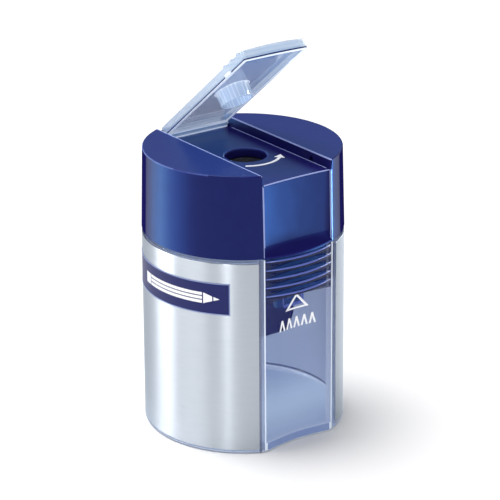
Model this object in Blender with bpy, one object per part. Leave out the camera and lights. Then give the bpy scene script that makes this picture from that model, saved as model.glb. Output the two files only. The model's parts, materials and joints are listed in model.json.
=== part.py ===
"""Canister pencil sharpener with a hinged lid, modelled as its separate pieces.

Frame: metres, +Z up, origin at the centre of the tub's flat underside, front window facing -Y.
The lid is modelled lying closed in its channel and then swung open about its hinge.
"""

import math

import bmesh
import bpy
from mathutils import Matrix, Vector

MM = 0.001

# ---- Driving dimensions -------------------------------------------------------------------
BODY_HEIGHT = 60.0 * MM        # underside of the tub to the top of the head
JOIN_HEIGHT = 42.4 * MM        # top of the tub's rim, where the head sits
FOOT_RADIUS = 21.2 * MM        # tub and sleeve at the bottom
RIM_RADIUS = 20.95 * MM        # tub and sleeve at the top
HEAD_RIM_RADIUS = 21.0 * MM    # head at its lower edge
HEAD_TOP_RADIUS = 20.5 * MM    # head at its top
GAP = 0.3 * MM                 # clearance between separate pieces
SEGMENTS = 72                  # sides of a full turn of the body

# Tub
WALL = 1.2 * MM
TUB_FLOOR = 1.6 * MM
FOOT_HEIGHT = 0.55 * MM        # clear foot showing below the sleeve
RIM_FLANGE = 0.5 * MM          # clear rim showing above the sleeve
WINDOW_HALF_WIDTH = 8.55 * MM  # flat front window between its corner posts
WINDOW_HOLLOW = 0.8 * MM       # how far the window dishes in at its middle
SLEEVE_THICKNESS = 0.25 * MM
SLEEVE_GAP = 0.2 * MM
SLEEVE_EDGE_LEFT = 27.2        # degrees from the front, sleeve edge on the -X side
SLEEVE_EDGE_RIGHT = 29.2       # degrees from the front, sleeve edge on the +X side

# Press pad, a tongue of the window that flexes about its lower edge
PAD_FOOT = 25.0 * MM
PAD_HALF_WIDTH = 8.3 * MM
PAD_THICKNESS = 1.0 * MM
RIB_COUNT = 5
RIB_PITCH = 1.86 * MM
RIB_TOP = 42.0 * MM
RIB_THICKNESS = 0.75 * MM
CATCH_HALF_WIDTH = 2.45 * MM
CATCH_BOTTOM = 30.1 * MM
CATCH_TOP = 32.7 * MM
CATCH_REACH = 0.55 * MM

# Head
HEAD_BOTTOM = JOIN_HEIGHT + 0.2 * MM
HEAD_PLATE = 1.75 * MM         # thickness of the channel's floor
CHANNEL_FLOOR = 57.85 * MM
CHANNEL_TOP_HALF = 8.45 * MM   # channel half width at the top of its walls
CHANNEL_FOOT_HALF = 8.15 * MM  # channel half width at its floor
FRONT_CUT_Y = -18.35 * MM      # flat front of the head, at its top
FRONT_FLARE = 1.8 * MM         # height of the curve that brings the flat out to the rim
SKIRT_RADIUS = 19.0 * MM       # plug of the head that drops inside the tub
SKIRT_WALL = 1.3 * MM
SKIRT_BOTTOM = 31.7 * MM
SKIRT_FLAT_Y = -16.4 * MM      # flat front of the skirt, behind the press pad
TONGUE_HALF_WIDTH = 3.4 * MM
TONGUE_BOTTOM = 29.8 * MM

# Pencil hole, sized for pencils up to 8.2 mm
HOLE_Y = -1.1 * MM
HOLE_RADIUS = 4.15 * MM

# Lid
HINGE_Y = 17.4 * MM
HINGE_Z = 58.6 * MM
LID_OPEN = 39.0                # degrees that the lid stands open
LID_HALF_WIDTH = 7.74 * MM
LID_TOP = 60.3 * MM
LID_DEPTH = 2.15 * MM
LID_PLATE = 1.1 * MM
LID_SKIRT = 0.8 * MM
LID_CORNER_Y = -19.75 * MM
LID_NOSE_Y = -20.5 * MM
BARREL_RADIUS = 1.25 * MM
PIN_RADIUS = 0.55 * MM
PIN_END = 8.85 * MM
SOCKET_RADIUS = 0.8 * MM
SOCKET_END = 9.0 * MM
CUP_RADIUS = 3.7 * MM
CUP_WALL = 0.8 * MM
CUP_BOTTOM = 56.3 * MM
CLIP_Y = -13.0 * MM
CLIP_REACH = 0.3 * MM
DETENT_Y = -12.3 * MM
DETENT_Z = 58.4 * MM
DETENT_RADIUS = 0.45 * MM
GRIP_YS = (-17.6 * MM, -14.8 * MM, -12.0 * MM)
GRIP_RADIUS = 0.4 * MM

# Sharpener
BLOCK_TOP = CHANNEL_FLOOR - HEAD_PLATE - GAP
BLOCK_LENGTH = 24.5 * MM
BLOCK_HALF_WIDTH = 6.6 * MM
BLOCK_FRONT_Y = -6.3 * MM
THROAT = 3.0 * MM              # straight entry above the cone
CONE_LENGTH = 19.0 * MM
CONE_TIP_RADIUS = 0.5 * MM
CONE_SLOPE = (HOLE_RADIUS - CONE_TIP_RADIUS) / CONE_LENGTH
BLADE_ANGLE = math.atan(CONE_SLOPE)
BLADE_CUT = 0.3 * MM           # how far the blade face cuts into the cone
BLADE_LENGTH = 21.0 * MM
BLADE_LOW_X = -0.4 * MM
BLADE_HIGH_X = 6.3 * MM
BLADE_THICKNESS = 0.5 * MM
BLADE_GAP = 0.15 * MM
SCREW_X = 3.9 * MM
SCREW_RADIUS = 1.1 * MM
SCREW_HEAD_RADIUS = 1.9 * MM
SCREW_HEAD = 1.0 * MM
SCREW_DEPTH = 3.6 * MM

# Carrier that holds the block under the head
CARRIER_HALF_WIDTH = 7.7 * MM
CARRIER_WALL = 0.85 * MM
CARRIER_FRONT_Y = -7.4 * MM
CARRIER_BACK_Y = 2.0 * MM
CARRIER_BOTTOM = 19.5 * MM
CARRIER_TAPER_HEIGHT = 3.8 * MM
CARRIER_TAPER = 1.4 * MM
FLANGE_HALF_WIDTH = 10.0 * MM
FLANGE_FRONT_Y = -10.0 * MM
FLANGE_THICKNESS = 0.9 * MM
LEDGE = 1.2 * MM

# ---- Helpers ------------------------------------------------------------------------------


def material(name, rgb, roughness, metallic=0.0, transmission=0.0):
    """A Principled material with the piece's own colour."""
    made = bpy.data.materials.new(name)
    made.use_nodes = True
    shader = made.node_tree.nodes["Principled BSDF"]
    shader.inputs["Base Color"].default_value = (*rgb, 1.0)
    shader.inputs["Roughness"].default_value = roughness
    shader.inputs["Metallic"].default_value = metallic
    shader.inputs["Transmission Weight"].default_value = transmission
    made.diffuse_color = (*rgb, 1.0)
    return made


def mesh_object(name, points, faces, finish=None):
    """One object from a list of points and faces, with its faces turned outwards."""
    mesh = bpy.data.meshes.new(name)
    mesh.from_pydata([tuple(point) for point in points], [], faces)
    work = bmesh.new()
    work.from_mesh(mesh)
    bmesh.ops.recalc_face_normals(work, faces=work.faces)
    work.to_mesh(mesh)
    work.free()
    made = bpy.data.objects.new(name, mesh)
    bpy.context.scene.collection.objects.link(made)
    if finish is not None:
        mesh.materials.append(finish)
    return made


def loft(name, rings, finish=None):
    """A closed body through rings of equal point count, capped at both ends."""
    count = len(rings[0])
    points = [point for ring in rings for point in ring]
    faces = []
    for level in range(len(rings) - 1):
        for step in range(count):
            after = (step + 1) % count
            low = level * count
            high = low + count
            faces.append((low + step, low + after, high + after, high + step))
    faces.append(tuple(range(count - 1, -1, -1)))
    faces.append(tuple(range(len(points) - count, len(points))))
    return mesh_object(name, points, faces, finish)


def circle(radius, z, centre_y=0.0, segments=SEGMENTS):
    """A level ring of points about the Z axis, or about a line beside it."""
    turn = 2.0 * math.pi / segments
    return [
        (radius * math.sin(turn * step), centre_y - radius * math.cos(turn * step), z)
        for step in range(segments)
    ]


def window_ring(radius, z, half_width, front_y=None, hollow=0.0, steps=12):
    """A round outline whose front is cut off between -half_width and half_width.

    The round part is an arc of the body's circle. The front edge lies at front_y, or where the
    arc ends, and dishes inwards by hollow at its middle.
    """
    corner = math.asin(half_width / radius)
    arc_steps = SEGMENTS - steps
    sweep = 2.0 * math.pi - 2.0 * corner
    ring = []
    for step in range(arc_steps + 1):
        angle = corner + sweep * step / arc_steps
        ring.append((radius * math.sin(angle), -radius * math.cos(angle), z))
    edge_y = -radius * math.cos(corner) if front_y is None else front_y
    first = 0 if front_y is not None else 1
    last = steps + 1 if front_y is not None else steps
    for step in range(first, last):
        across = -1.0 + 2.0 * step / steps
        dish = hollow * (1.0 - across * across)
        ring.append((across * half_width, edge_y + dish, z))
    return ring


def block(name, low, high, finish=None):
    """A rectangular body between two corners."""
    ring = [(low[0], low[1]), (high[0], low[1]), (high[0], high[1]), (low[0], high[1])]
    rings = [[(x, y, z) for x, y in ring] for z in (low[2], high[2])]
    return loft(name, rings, finish)


def prism_x(name, profile, half_width, finish=None):
    """A profile of (y, z) points carried from -half_width to half_width along X."""
    rings = [[(x, y, z) for y, z in profile] for x in (-half_width, half_width)]
    return loft(name, rings, finish)


def prism_y(name, profile, low_y, high_y, finish=None):
    """A profile of (x, z) points carried from low_y to high_y along Y."""
    rings = [[(x, y, z) for x, z in profile] for y in (low_y, high_y)]
    return loft(name, rings, finish)


def rod_x(name, radius, low_x, high_x, y, z, segments=20):
    """A round rod along X."""
    turn = 2.0 * math.pi / segments
    rings = [
        [
            (x, y + radius * math.cos(turn * step), z + radius * math.sin(turn * step))
            for step in range(segments)
        ]
        for x in (low_x, high_x)
    ]
    return loft(name, rings)


def combine(target, tool, operation):
    """Adds an exact Boolean to target and hides the tool."""
    step = target.modifiers.new(f"{operation.lower()} {tool.name}", "BOOLEAN")
    step.operation = operation
    step.solver = "EXACT"
    step.object = tool
    tool.hide_render = True
    tool.display_type = "WIRE"


def cut(target, *tools):
    for tool in tools:
        combine(target, tool, "DIFFERENCE")


def add(target, *tools):
    for tool in tools:
        combine(target, tool, "UNION")


def smooth(target, degrees=30.0):
    """Shades the round faces smooth and keeps real edges sharp."""
    target.data.shade_smooth()
    target.data.set_sharp_from_angle(angle=math.radians(degrees))


# ---- Tub, press pad and sleeve --------------------------------------------------------------


def body_radius(z):
    """Outer radius of the tub and its sleeve, which narrow evenly towards the rim."""
    share = z / JOIN_HEIGHT
    return FOOT_RADIUS + (RIM_RADIUS - FOOT_RADIUS) * share


def window_front(z):
    """Y of the window's outer face at its side edges."""
    radius = body_radius(z)
    return -math.sqrt(radius * radius - WINDOW_HALF_WIDTH * WINDOW_HALF_WIDTH)


def tub_wall_radius(z):
    """Outer radius of the tub's wall where the sleeve covers it."""
    return body_radius(z) - SLEEVE_THICKNESS - SLEEVE_GAP


def sector(name, inner, outer, low_z, high_z, finish=None, grow=0.0):
    """A ring sector from the sleeve's right edge round the back to its left edge.

    inner and outer give a radius for a height. grow widens the sector at both edges, in degrees.
    """
    start = math.radians(SLEEVE_EDGE_RIGHT - grow)
    end = 2.0 * math.pi - math.radians(SLEEVE_EDGE_LEFT - grow)
    steps = SEGMENTS - 12
    angles = [start + (end - start) * step / steps for step in range(steps + 1)]
    rings = []
    for z in (low_z, high_z):
        ring = [(outer(z) * math.sin(a), -outer(z) * math.cos(a), z) for a in angles]
        ring += [(inner(z) * math.sin(a), -inner(z) * math.cos(a), z) for a in reversed(angles)]
        rings.append(ring)
    return loft(name, rings, finish)


def make_tub(finish):
    edge = 0.3 * MM
    outer_levels = (
        (0.0, FOOT_RADIUS - edge),
        (edge, body_radius(edge)),
        (JOIN_HEIGHT, body_radius(JOIN_HEIGHT)),
    )
    tub = loft(
        "tub",
        [window_ring(r, z, WINDOW_HALF_WIDTH, hollow=WINDOW_HOLLOW) for z, r in outer_levels],
        finish,
    )
    pad_room = PAD_THICKNESS + 0.1 * MM
    inside = loft(
        "tub_inside",
        [
            window_ring(
                tub_wall_radius(z) - WALL,
                z,
                WINDOW_HALF_WIDTH - 0.6 * MM,
                front_y=window_front(z) + pad_room,
                hollow=WINDOW_HOLLOW,
            )
            for z in (TUB_FLOOR, JOIN_HEIGHT + 1.0 * MM)
        ],
    )
    recess = sector(
        "sleeve_recess",
        tub_wall_radius,
        lambda z: body_radius(z) + 1.0 * MM,
        FOOT_HEIGHT,
        JOIN_HEIGHT - RIM_FLANGE,
        grow=0.6,
    )
    pad_slot = block(
        "pad_slot",
        (-PAD_HALF_WIDTH - 0.25 * MM, -25.0 * MM, PAD_FOOT - GAP),
        (PAD_HALF_WIDTH + 0.25 * MM, -15.0 * MM, JOIN_HEIGHT + 1.0 * MM),
    )
    cut(tub, inside, recess, pad_slot)
    return tub


def make_sleeve(finish):
    return sector(
        "foil_sleeve",
        lambda z: body_radius(z) - SLEEVE_THICKNESS,
        body_radius,
        FOOT_HEIGHT + SLEEVE_GAP,
        JOIN_HEIGHT - RIM_FLANGE - SLEEVE_GAP,
        finish,
    )


def rib(index):
    """One grip rib: the slice between the window's face and the body's round outline."""
    top = RIB_TOP - index * RIB_PITCH
    steps = 16
    root_y = window_front(top) + WINDOW_HOLLOW + 0.4 * MM
    reach = 8.1 * MM
    rings = []
    for z in (top - RIB_THICKNESS, top):
        radius = body_radius(z) - 0.1 * MM
        ring = []
        for step in range(steps + 1):
            x = reach * (-1.0 + 2.0 * step / steps)
            ring.append((x, -math.sqrt(radius * radius - x * x), z))
        ring += [(reach, root_y, z), (-reach, root_y, z)]
        rings.append(ring)
    return loft(f"rib_{index + 1}", rings)


def make_press_pad(finish):
    steps = 12
    rings = []
    for z in (PAD_FOOT, JOIN_HEIGHT - 0.1 * MM):
        outer = []
        for step in range(steps + 1):
            across = -1.0 + 2.0 * step / steps
            dish = WINDOW_HOLLOW * (1.0 - across * across)
            outer.append((across * PAD_HALF_WIDTH, window_front(z) + dish, z))
        inner = [(x, y + PAD_THICKNESS, z) for x, y, z in reversed(outer)]
        rings.append(outer + inner)
    pad = loft("press_pad", rings, finish)
    catch_back = window_front(CATCH_TOP) + WINDOW_HOLLOW + PAD_THICKNESS
    catch = block(
        "catch",
        (-CATCH_HALF_WIDTH, catch_back - 0.5 * MM, CATCH_BOTTOM),
        (CATCH_HALF_WIDTH, catch_back + CATCH_REACH, CATCH_TOP),
    )
    add(pad, *[rib(index) for index in range(RIB_COUNT)], catch)
    return pad


# ---- Head ---------------------------------------------------------------------------------


def front_cutter():
    """Takes the front of the head back to a flat that curves out again above the rim."""
    steps = 8
    foot = HEAD_BOTTOM + 0.5 * MM
    top = BODY_HEIGHT + 2.0 * MM
    rim_y = -HEAD_RIM_RADIUS - 0.2 * MM
    flat_y = FRONT_CUT_Y - 0.2 * MM
    profile = [(-30.0 * MM, top), (-30.0 * MM, foot), (rim_y, foot)]
    for step in range(1, steps + 1):
        turn = 0.5 * math.pi * step / steps
        y = rim_y + (flat_y - rim_y) * math.sin(turn)
        z = foot + FRONT_FLARE * (1.0 - math.cos(turn))
        profile.append((y, z))
    profile.append((FRONT_CUT_Y, top))
    return prism_x("front_cutter", profile, CHANNEL_FOOT_HALF + 0.2 * MM)


def make_head(finish):
    head = loft(
        "head_shell",
        [
            circle(HEAD_RIM_RADIUS, HEAD_BOTTOM),
            circle(HEAD_TOP_RADIUS + 0.05 * MM, BODY_HEIGHT - 0.3 * MM),
            circle(HEAD_TOP_RADIUS - 0.25 * MM, BODY_HEIGHT),
        ],
        finish,
    )
    skirt = loft(
        "skirt",
        [
            window_ring(SKIRT_RADIUS, z, half_chord(SKIRT_RADIUS, SKIRT_FLAT_Y))
            for z in (SKIRT_BOTTOM, HEAD_BOTTOM + 2.0 * MM)
        ],
    )
    tongue = block(
        "tongue",
        (-TONGUE_HALF_WIDTH, SKIRT_FLAT_Y, TONGUE_BOTTOM),
        (TONGUE_HALF_WIDTH, SKIRT_FLAT_Y + SKIRT_WALL, SKIRT_BOTTOM + 1.0 * MM),
    )
    wall_top = BODY_HEIGHT + 1.0 * MM
    slope = (CHANNEL_TOP_HALF - CHANNEL_FOOT_HALF) / (BODY_HEIGHT - CHANNEL_FLOOR)
    wide = CHANNEL_TOP_HALF + slope * 1.0 * MM
    channel = prism_y(
        "channel",
        [
            (-CHANNEL_FOOT_HALF, CHANNEL_FLOOR),
            (CHANNEL_FOOT_HALF, CHANNEL_FLOOR),
            (wide, wall_top),
            (-wide, wall_top),
        ],
        -25.0 * MM,
        25.0 * MM,
    )
    inner_radius = SKIRT_RADIUS - SKIRT_WALL
    inner_flat = SKIRT_FLAT_Y + SKIRT_WALL
    hollow = loft(
        "head_hollow",
        [
            window_ring(inner_radius, z, half_chord(inner_radius, inner_flat))
            for z in (SKIRT_BOTTOM - 1.0 * MM, CHANNEL_FLOOR - HEAD_PLATE)
        ],
    )
    hole = loft(
        "pencil_hole",
        [circle(HOLE_RADIUS, z, HOLE_Y, 36) for z in (50.0 * MM, 62.0 * MM)],
    )
    trough = rod_x(
        "hinge_trough",
        BARREL_RADIUS + GAP,
        -CHANNEL_FOOT_HALF,
        CHANNEL_FOOT_HALF,
        HINGE_Y,
        HINGE_Z,
        28,
    )
    socket = rod_x("pin_sockets", SOCKET_RADIUS, -SOCKET_END, SOCKET_END, HINGE_Y, HINGE_Z)
    detent = rod_x(
        "detent_holes",
        DETENT_RADIUS,
        -CHANNEL_TOP_HALF - 0.5 * MM,
        CHANNEL_TOP_HALF + 0.5 * MM,
        DETENT_Y,
        DETENT_Z,
        12,
    )
    add(head, skirt)
    cut(head, front_cutter(), hollow)
    add(head, tongue)
    cut(head, channel, hole, trough, socket, detent)
    return head


def half_chord(radius, flat_y):
    """Half the width of the flat that a line at flat_y cuts on a circle."""
    return math.sqrt(radius * radius - flat_y * flat_y)


# ---- Sharpener and its carrier --------------------------------------------------------------


def blade_face_y(z):
    """Y of the block's sloping blade face, which follows the cone's side."""
    cone_top = BLOCK_TOP - THROAT
    return HOLE_Y + HOLE_RADIUS - BLADE_CUT + CONE_SLOPE * (z - cone_top)


def on_blade_face(x, along, out):
    """A point given in the blade's own directions.

    x runs across, along runs up the sloping face from its middle, and out runs away from it.
    """
    middle_z = BLOCK_TOP - 0.5 * BLOCK_LENGTH
    middle = Vector((0.0, blade_face_y(middle_z), middle_z))
    up = Vector((0.0, math.sin(BLADE_ANGLE), math.cos(BLADE_ANGLE)))
    away = Vector((0.0, math.cos(BLADE_ANGLE), -math.sin(BLADE_ANGLE)))
    return middle + Vector((x, 0.0, 0.0)) + up * along + away * out


def face_box(name, low, high, finish=None):
    """A rectangular body whose corners are given in the blade's own directions."""
    ring = [(low[0], low[1]), (high[0], low[1]), (high[0], high[1]), (low[0], high[1])]
    rings = [[on_blade_face(x, along, out) for x, along in ring] for out in (low[2], high[2])]
    return loft(name, rings, finish)


def face_rod(name, radius, low, high, finish=None, segments=20):
    """A round rod at the screw's place, standing out of the blade face."""
    turn = 2.0 * math.pi / segments
    rings = [
        [
            on_blade_face(
                SCREW_X + radius * math.cos(turn * step),
                radius * math.sin(turn * step),
                out,
            )
            for step in range(segments)
        ]
        for out in (low, high)
    ]
    return loft(name, rings, finish)


def make_block(finish):
    bottom = BLOCK_TOP - BLOCK_LENGTH
    profile = [
        (BLOCK_FRONT_Y, BLOCK_TOP),
        (BLOCK_FRONT_Y, bottom),
        (blade_face_y(bottom), bottom),
        (blade_face_y(BLOCK_TOP), BLOCK_TOP),
    ]
    body = prism_x("sharpener_block", profile, BLOCK_HALF_WIDTH, finish)
    cone_top = BLOCK_TOP - THROAT
    cone = loft(
        "cone_bore",
        [
            circle(CONE_TIP_RADIUS, cone_top - CONE_LENGTH, HOLE_Y, 36),
            circle(HOLE_RADIUS, cone_top, HOLE_Y, 36),
            circle(HOLE_RADIUS, BLOCK_TOP + 1.0 * MM, HOLE_Y, 36),
        ],
    )
    throat = face_box(
        "shaving_throat",
        (-4.6 * MM, -0.5 * BLADE_LENGTH, -1.6 * MM),
        (BLADE_LOW_X, 0.5 * BLADE_LENGTH - 2.0 * MM, 3.0 * MM),
    )
    thread = face_rod("screw_thread", SCREW_RADIUS + GAP, -SCREW_DEPTH - GAP, 3.0 * MM)
    cut(body, cone, throat, thread)
    for side in (-1.0, 1.0):
        for index in range(6):
            z = BLOCK_TOP - 5.0 * MM - index * 2.6 * MM
            x = side * BLOCK_HALF_WIDTH
            groove = block(
                f"grip_groove_{'left' if side < 0 else 'right'}_{index + 1}",
                (x - 0.4 * MM, BLOCK_FRONT_Y - 1.0 * MM, z - 0.6 * MM),
                (x + 0.4 * MM, 10.0 * MM, z + 0.6 * MM),
            )
            cut(body, groove)
    return body


def make_blade(finish):
    """A flat blade ground to its edge along the cone's side."""
    low_out = BLADE_GAP
    high_out = BLADE_GAP + BLADE_THICKNESS
    ground = 0.9 * MM
    section = [
        (BLADE_LOW_X, low_out),
        (BLADE_HIGH_X, low_out),
        (BLADE_HIGH_X, high_out),
        (BLADE_LOW_X + ground, high_out),
    ]
    ends = (-0.5 * BLADE_LENGTH, 0.5 * BLADE_LENGTH)
    rings = [[on_blade_face(x, along, out) for x, out in section] for along in ends]
    blade = loft("blade", rings, finish)
    cut(blade, face_rod("blade_hole", SCREW_RADIUS + GAP, -1.0 * MM, 2.0 * MM))
    return blade


def make_screw(finish):
    seat = BLADE_GAP + BLADE_THICKNESS + BLADE_GAP
    screw = face_rod("blade_screw", SCREW_RADIUS, -SCREW_DEPTH, seat + 0.3 * MM, finish)
    head = face_rod("screw_head", SCREW_HEAD_RADIUS, seat, seat + SCREW_HEAD)
    slot = face_box(
        "screw_slot",
        (SCREW_X - 2.5 * MM, -0.3 * MM, seat + 0.5 * MM),
        (SCREW_X + 2.5 * MM, 0.3 * MM, seat + 2.0 * MM),
    )
    add(screw, head)
    cut(screw, slot)
    return screw


def make_carrier(finish):
    low = CARRIER_BOTTOM
    taper = CARRIER_HALF_WIDTH - CARRIER_TAPER
    bend = low + CARRIER_TAPER_HEIGHT
    profile = [
        (-taper, low),
        (taper, low),
        (CARRIER_HALF_WIDTH, bend),
        (CARRIER_HALF_WIDTH, BLOCK_TOP),
        (-CARRIER_HALF_WIDTH, BLOCK_TOP),
        (-CARRIER_HALF_WIDTH, bend),
    ]
    carrier = prism_y("sharpener_carrier", profile, CARRIER_FRONT_Y, CARRIER_BACK_Y, finish)
    flange = block(
        "flange",
        (-FLANGE_HALF_WIDTH, FLANGE_FRONT_Y, BLOCK_TOP - FLANGE_THICKNESS),
        (FLANGE_HALF_WIDTH, CARRIER_BACK_Y, BLOCK_TOP),
    )
    inner = CARRIER_HALF_WIDTH - CARRIER_WALL
    inner_front = CARRIER_FRONT_Y + CARRIER_WALL
    ledge_top = BLOCK_TOP - BLOCK_LENGTH - GAP
    upper = block(
        "block_room",
        (-inner, inner_front, ledge_top),
        (inner, 10.0 * MM, BLOCK_TOP + 1.0 * MM),
    )
    narrow = taper - CARRIER_WALL
    lower = block(
        "point_room",
        (-narrow, inner_front, low - 1.0 * MM),
        (narrow, 10.0 * MM, ledge_top - LEDGE),
    )
    dust_way = block(
        "dust_way",
        (-2.2 * MM, HOLE_Y - 2.2 * MM, ledge_top - 5.0 * MM),
        (2.2 * MM, 10.0 * MM, ledge_top + 1.0 * MM),
    )
    add(carrier, flange)
    cut(carrier, upper, lower, dust_way)
    return carrier


# ---- Lid ------------------------------------------------------------------------------------


def lid_outline(half_width, corner_y, nose_y, back_y, z, steps=14):
    """The lid's outline from above, with its nose as a shallow arc."""
    bow = corner_y - nose_y
    ring = []
    for step in range(steps + 1):
        across = -1.0 + 2.0 * step / steps
        ring.append((across * half_width, corner_y - bow * (1.0 - across * across), z))
    ring += [(half_width, back_y, z), (-half_width, back_y, z)]
    return ring


def make_lid(finish, hinge):
    """The lid in its closed place, then turned open about the hinge."""
    foot = LID_TOP - LID_DEPTH
    lid = loft(
        "lid",
        [
            lid_outline(LID_HALF_WIDTH, LID_CORNER_Y, LID_NOSE_Y, HINGE_Y, z)
            for z in (foot, LID_TOP)
        ],
        finish,
    )
    tray = loft(
        "lid_tray",
        [
            lid_outline(
                LID_HALF_WIDTH - LID_SKIRT,
                LID_CORNER_Y + LID_SKIRT,
                LID_NOSE_Y + LID_SKIRT,
                HINGE_Y - 2.4 * MM,
                z,
            )
            for z in (foot - 1.0 * MM, LID_TOP - LID_PLATE)
        ],
    )
    barrel = rod_x(
        "barrel", BARREL_RADIUS, -LID_HALF_WIDTH, LID_HALF_WIDTH, HINGE_Y, HINGE_Z, 28
    )
    pins = rod_x("hinge_pins", PIN_RADIUS, -PIN_END, PIN_END, HINGE_Y, HINGE_Z, 16)
    cup = loft(
        "plug_cup",
        [
            circle(CUP_RADIUS - 0.2 * MM, CUP_BOTTOM, HOLE_Y, 32),
            circle(CUP_RADIUS, LID_TOP - 0.5 * LID_PLATE, HOLE_Y, 32),
        ],
    )
    cup_hollow = loft(
        "cup_hollow",
        [
            circle(CUP_RADIUS - CUP_WALL, z, HOLE_Y, 32)
            for z in (CUP_BOTTOM - 1.0 * MM, LID_TOP - LID_PLATE)
        ],
    )
    clip = block(
        "clips",
        (-LID_HALF_WIDTH - CLIP_REACH, CLIP_Y - 1.1 * MM, foot),
        (LID_HALF_WIDTH + CLIP_REACH, CLIP_Y + 1.1 * MM, foot + 0.6 * MM),
    )
    clip_room = block(
        "clip_room",
        (-LID_HALF_WIDTH + LID_SKIRT, CLIP_Y - 2.0 * MM, foot - 1.0 * MM),
        (LID_HALF_WIDTH - LID_SKIRT, CLIP_Y + 2.0 * MM, LID_TOP - LID_PLATE),
    )
    grips = [
        rod_x(
            f"grip_ridge_{index + 1}",
            GRIP_RADIUS,
            -LID_HALF_WIDTH + 0.3 * MM,
            LID_HALF_WIDTH - 0.3 * MM,
            y,
            LID_TOP,
            10,
        )
        for index, y in enumerate(GRIP_YS)
    ]
    cut(lid, tray)
    add(lid, barrel, pins, clip)
    cut(lid, clip_room)
    add(lid, cup)
    cut(lid, cup_hollow)
    add(lid, *grips)
    tools = [barrel, pins, clip, clip_room, cup, cup_hollow, tray, *grips]
    for piece in [lid, *tools]:
        piece.data.transform(Matrix.Translation((0.0, -HINGE_Y, -HINGE_Z)))
        piece.parent = hinge
    return lid


def make_hinge():
    """An empty on the hinge's axis, turned so that what it carries stands open."""
    hinge = bpy.data.objects.new("lid_hinge_axis", None)
    bpy.context.scene.collection.objects.link(hinge)
    hinge.location = (0.0, HINGE_Y, HINGE_Z)
    hinge.rotation_euler = (-math.radians(LID_OPEN), 0.0, 0.0)
    return hinge


# ---- Assembly -------------------------------------------------------------------------------


def main():
    for old in list(bpy.data.objects):
        bpy.data.objects.remove(old, do_unlink=True)

    clear_plastic = material("clear_blue_styrene", (0.42, 0.53, 0.76), 0.08, transmission=0.8)
    clear_lid = material("clear_lid_styrene", (0.50, 0.62, 0.83), 0.08, transmission=0.8)
    clear_pad = material("clear_pad_styrene", (0.40, 0.50, 0.76), 0.1, transmission=0.8)
    head_blue = material("blue_abs", (0.018, 0.045, 0.22), 0.25)
    carrier_blue = material("dark_blue_abs", (0.018, 0.014, 0.11), 0.35)
    foil = material("silver_foil", (0.72, 0.75, 0.79), 0.3, metallic=0.9)
    magnesium = material("cast_magnesium", (0.55, 0.56, 0.58), 0.4, metallic=0.9)
    blade_steel = material("blade_steel", (0.70, 0.71, 0.73), 0.2, metallic=1.0)
    screw_steel = material("screw_steel", (0.62, 0.60, 0.52), 0.3, metallic=1.0)

    pieces = [
        make_tub(clear_plastic),
        make_press_pad(clear_pad),
        make_sleeve(foil),
        make_head(head_blue),
        make_carrier(carrier_blue),
        make_block(magnesium),
        make_blade(blade_steel),
        make_screw(screw_steel),
        make_lid(clear_lid, make_hinge()),
    ]
    for piece in pieces:
        smooth(piece)


main()
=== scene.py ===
# %% [markdown]
# # A canister pencil sharpener, dressed for its portrait
#
# The engineering model of this sharpener already exists: a clear tub in a silver sleeve, a blue
# head with a channel across its top, and a clear lid hinged at the back of that channel. That
# model is plain and faceted. This lesson keeps its places and sizes and makes the surfaces that
# the eye sees: rounded edges, clear plastic, foil, ink and moulded plastic.
#
# Clear plastic is shown here by letting part of the light straight through, not by bending it.
# What bending would do at an edge or a rib is painted there with a lighter or darker finish.
#
# We start by opening the model as a fixed frame. Every position below comes from it.

import json
import math

import bmesh
import bpy
import numpy as np
from mathutils import Matrix, Vector


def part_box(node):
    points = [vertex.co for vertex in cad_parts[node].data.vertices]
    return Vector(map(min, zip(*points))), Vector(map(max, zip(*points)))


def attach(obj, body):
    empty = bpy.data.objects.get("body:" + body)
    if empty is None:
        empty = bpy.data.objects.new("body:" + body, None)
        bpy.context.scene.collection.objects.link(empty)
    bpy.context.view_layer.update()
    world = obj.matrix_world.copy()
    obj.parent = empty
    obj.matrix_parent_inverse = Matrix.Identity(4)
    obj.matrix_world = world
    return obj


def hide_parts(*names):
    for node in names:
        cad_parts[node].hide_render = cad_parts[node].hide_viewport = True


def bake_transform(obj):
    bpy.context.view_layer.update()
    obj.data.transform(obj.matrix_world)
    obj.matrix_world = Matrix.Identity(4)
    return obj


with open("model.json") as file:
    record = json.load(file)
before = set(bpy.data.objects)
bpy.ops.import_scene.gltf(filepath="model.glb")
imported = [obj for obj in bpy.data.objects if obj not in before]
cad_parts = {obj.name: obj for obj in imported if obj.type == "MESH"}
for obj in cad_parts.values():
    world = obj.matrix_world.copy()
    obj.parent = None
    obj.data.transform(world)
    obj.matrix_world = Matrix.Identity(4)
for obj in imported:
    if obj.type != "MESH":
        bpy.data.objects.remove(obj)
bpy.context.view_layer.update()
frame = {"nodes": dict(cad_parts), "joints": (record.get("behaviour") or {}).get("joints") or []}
print("nodes:", sorted(frame["nodes"]))

# %% [markdown]
# ## Sizes
#
# A piece that stands in for a plain solid has to fill the same space, so we read the solid's box
# and take radii and heights from it. A few sizes are hidden inside a box, such as the width of
# the channel, and those are written here once, in millimetres, and named.

# %% Read the sizes
MM = 0.001


def joint(name):
    """The joint of that name in the frame's record."""
    return next(j for j in frame["joints"] if j["name"] == name)


tub_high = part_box("tub")[1]
sleeve_low, sleeve_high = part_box("foil_sleeve")
head_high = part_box("head_shell")[1]

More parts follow.
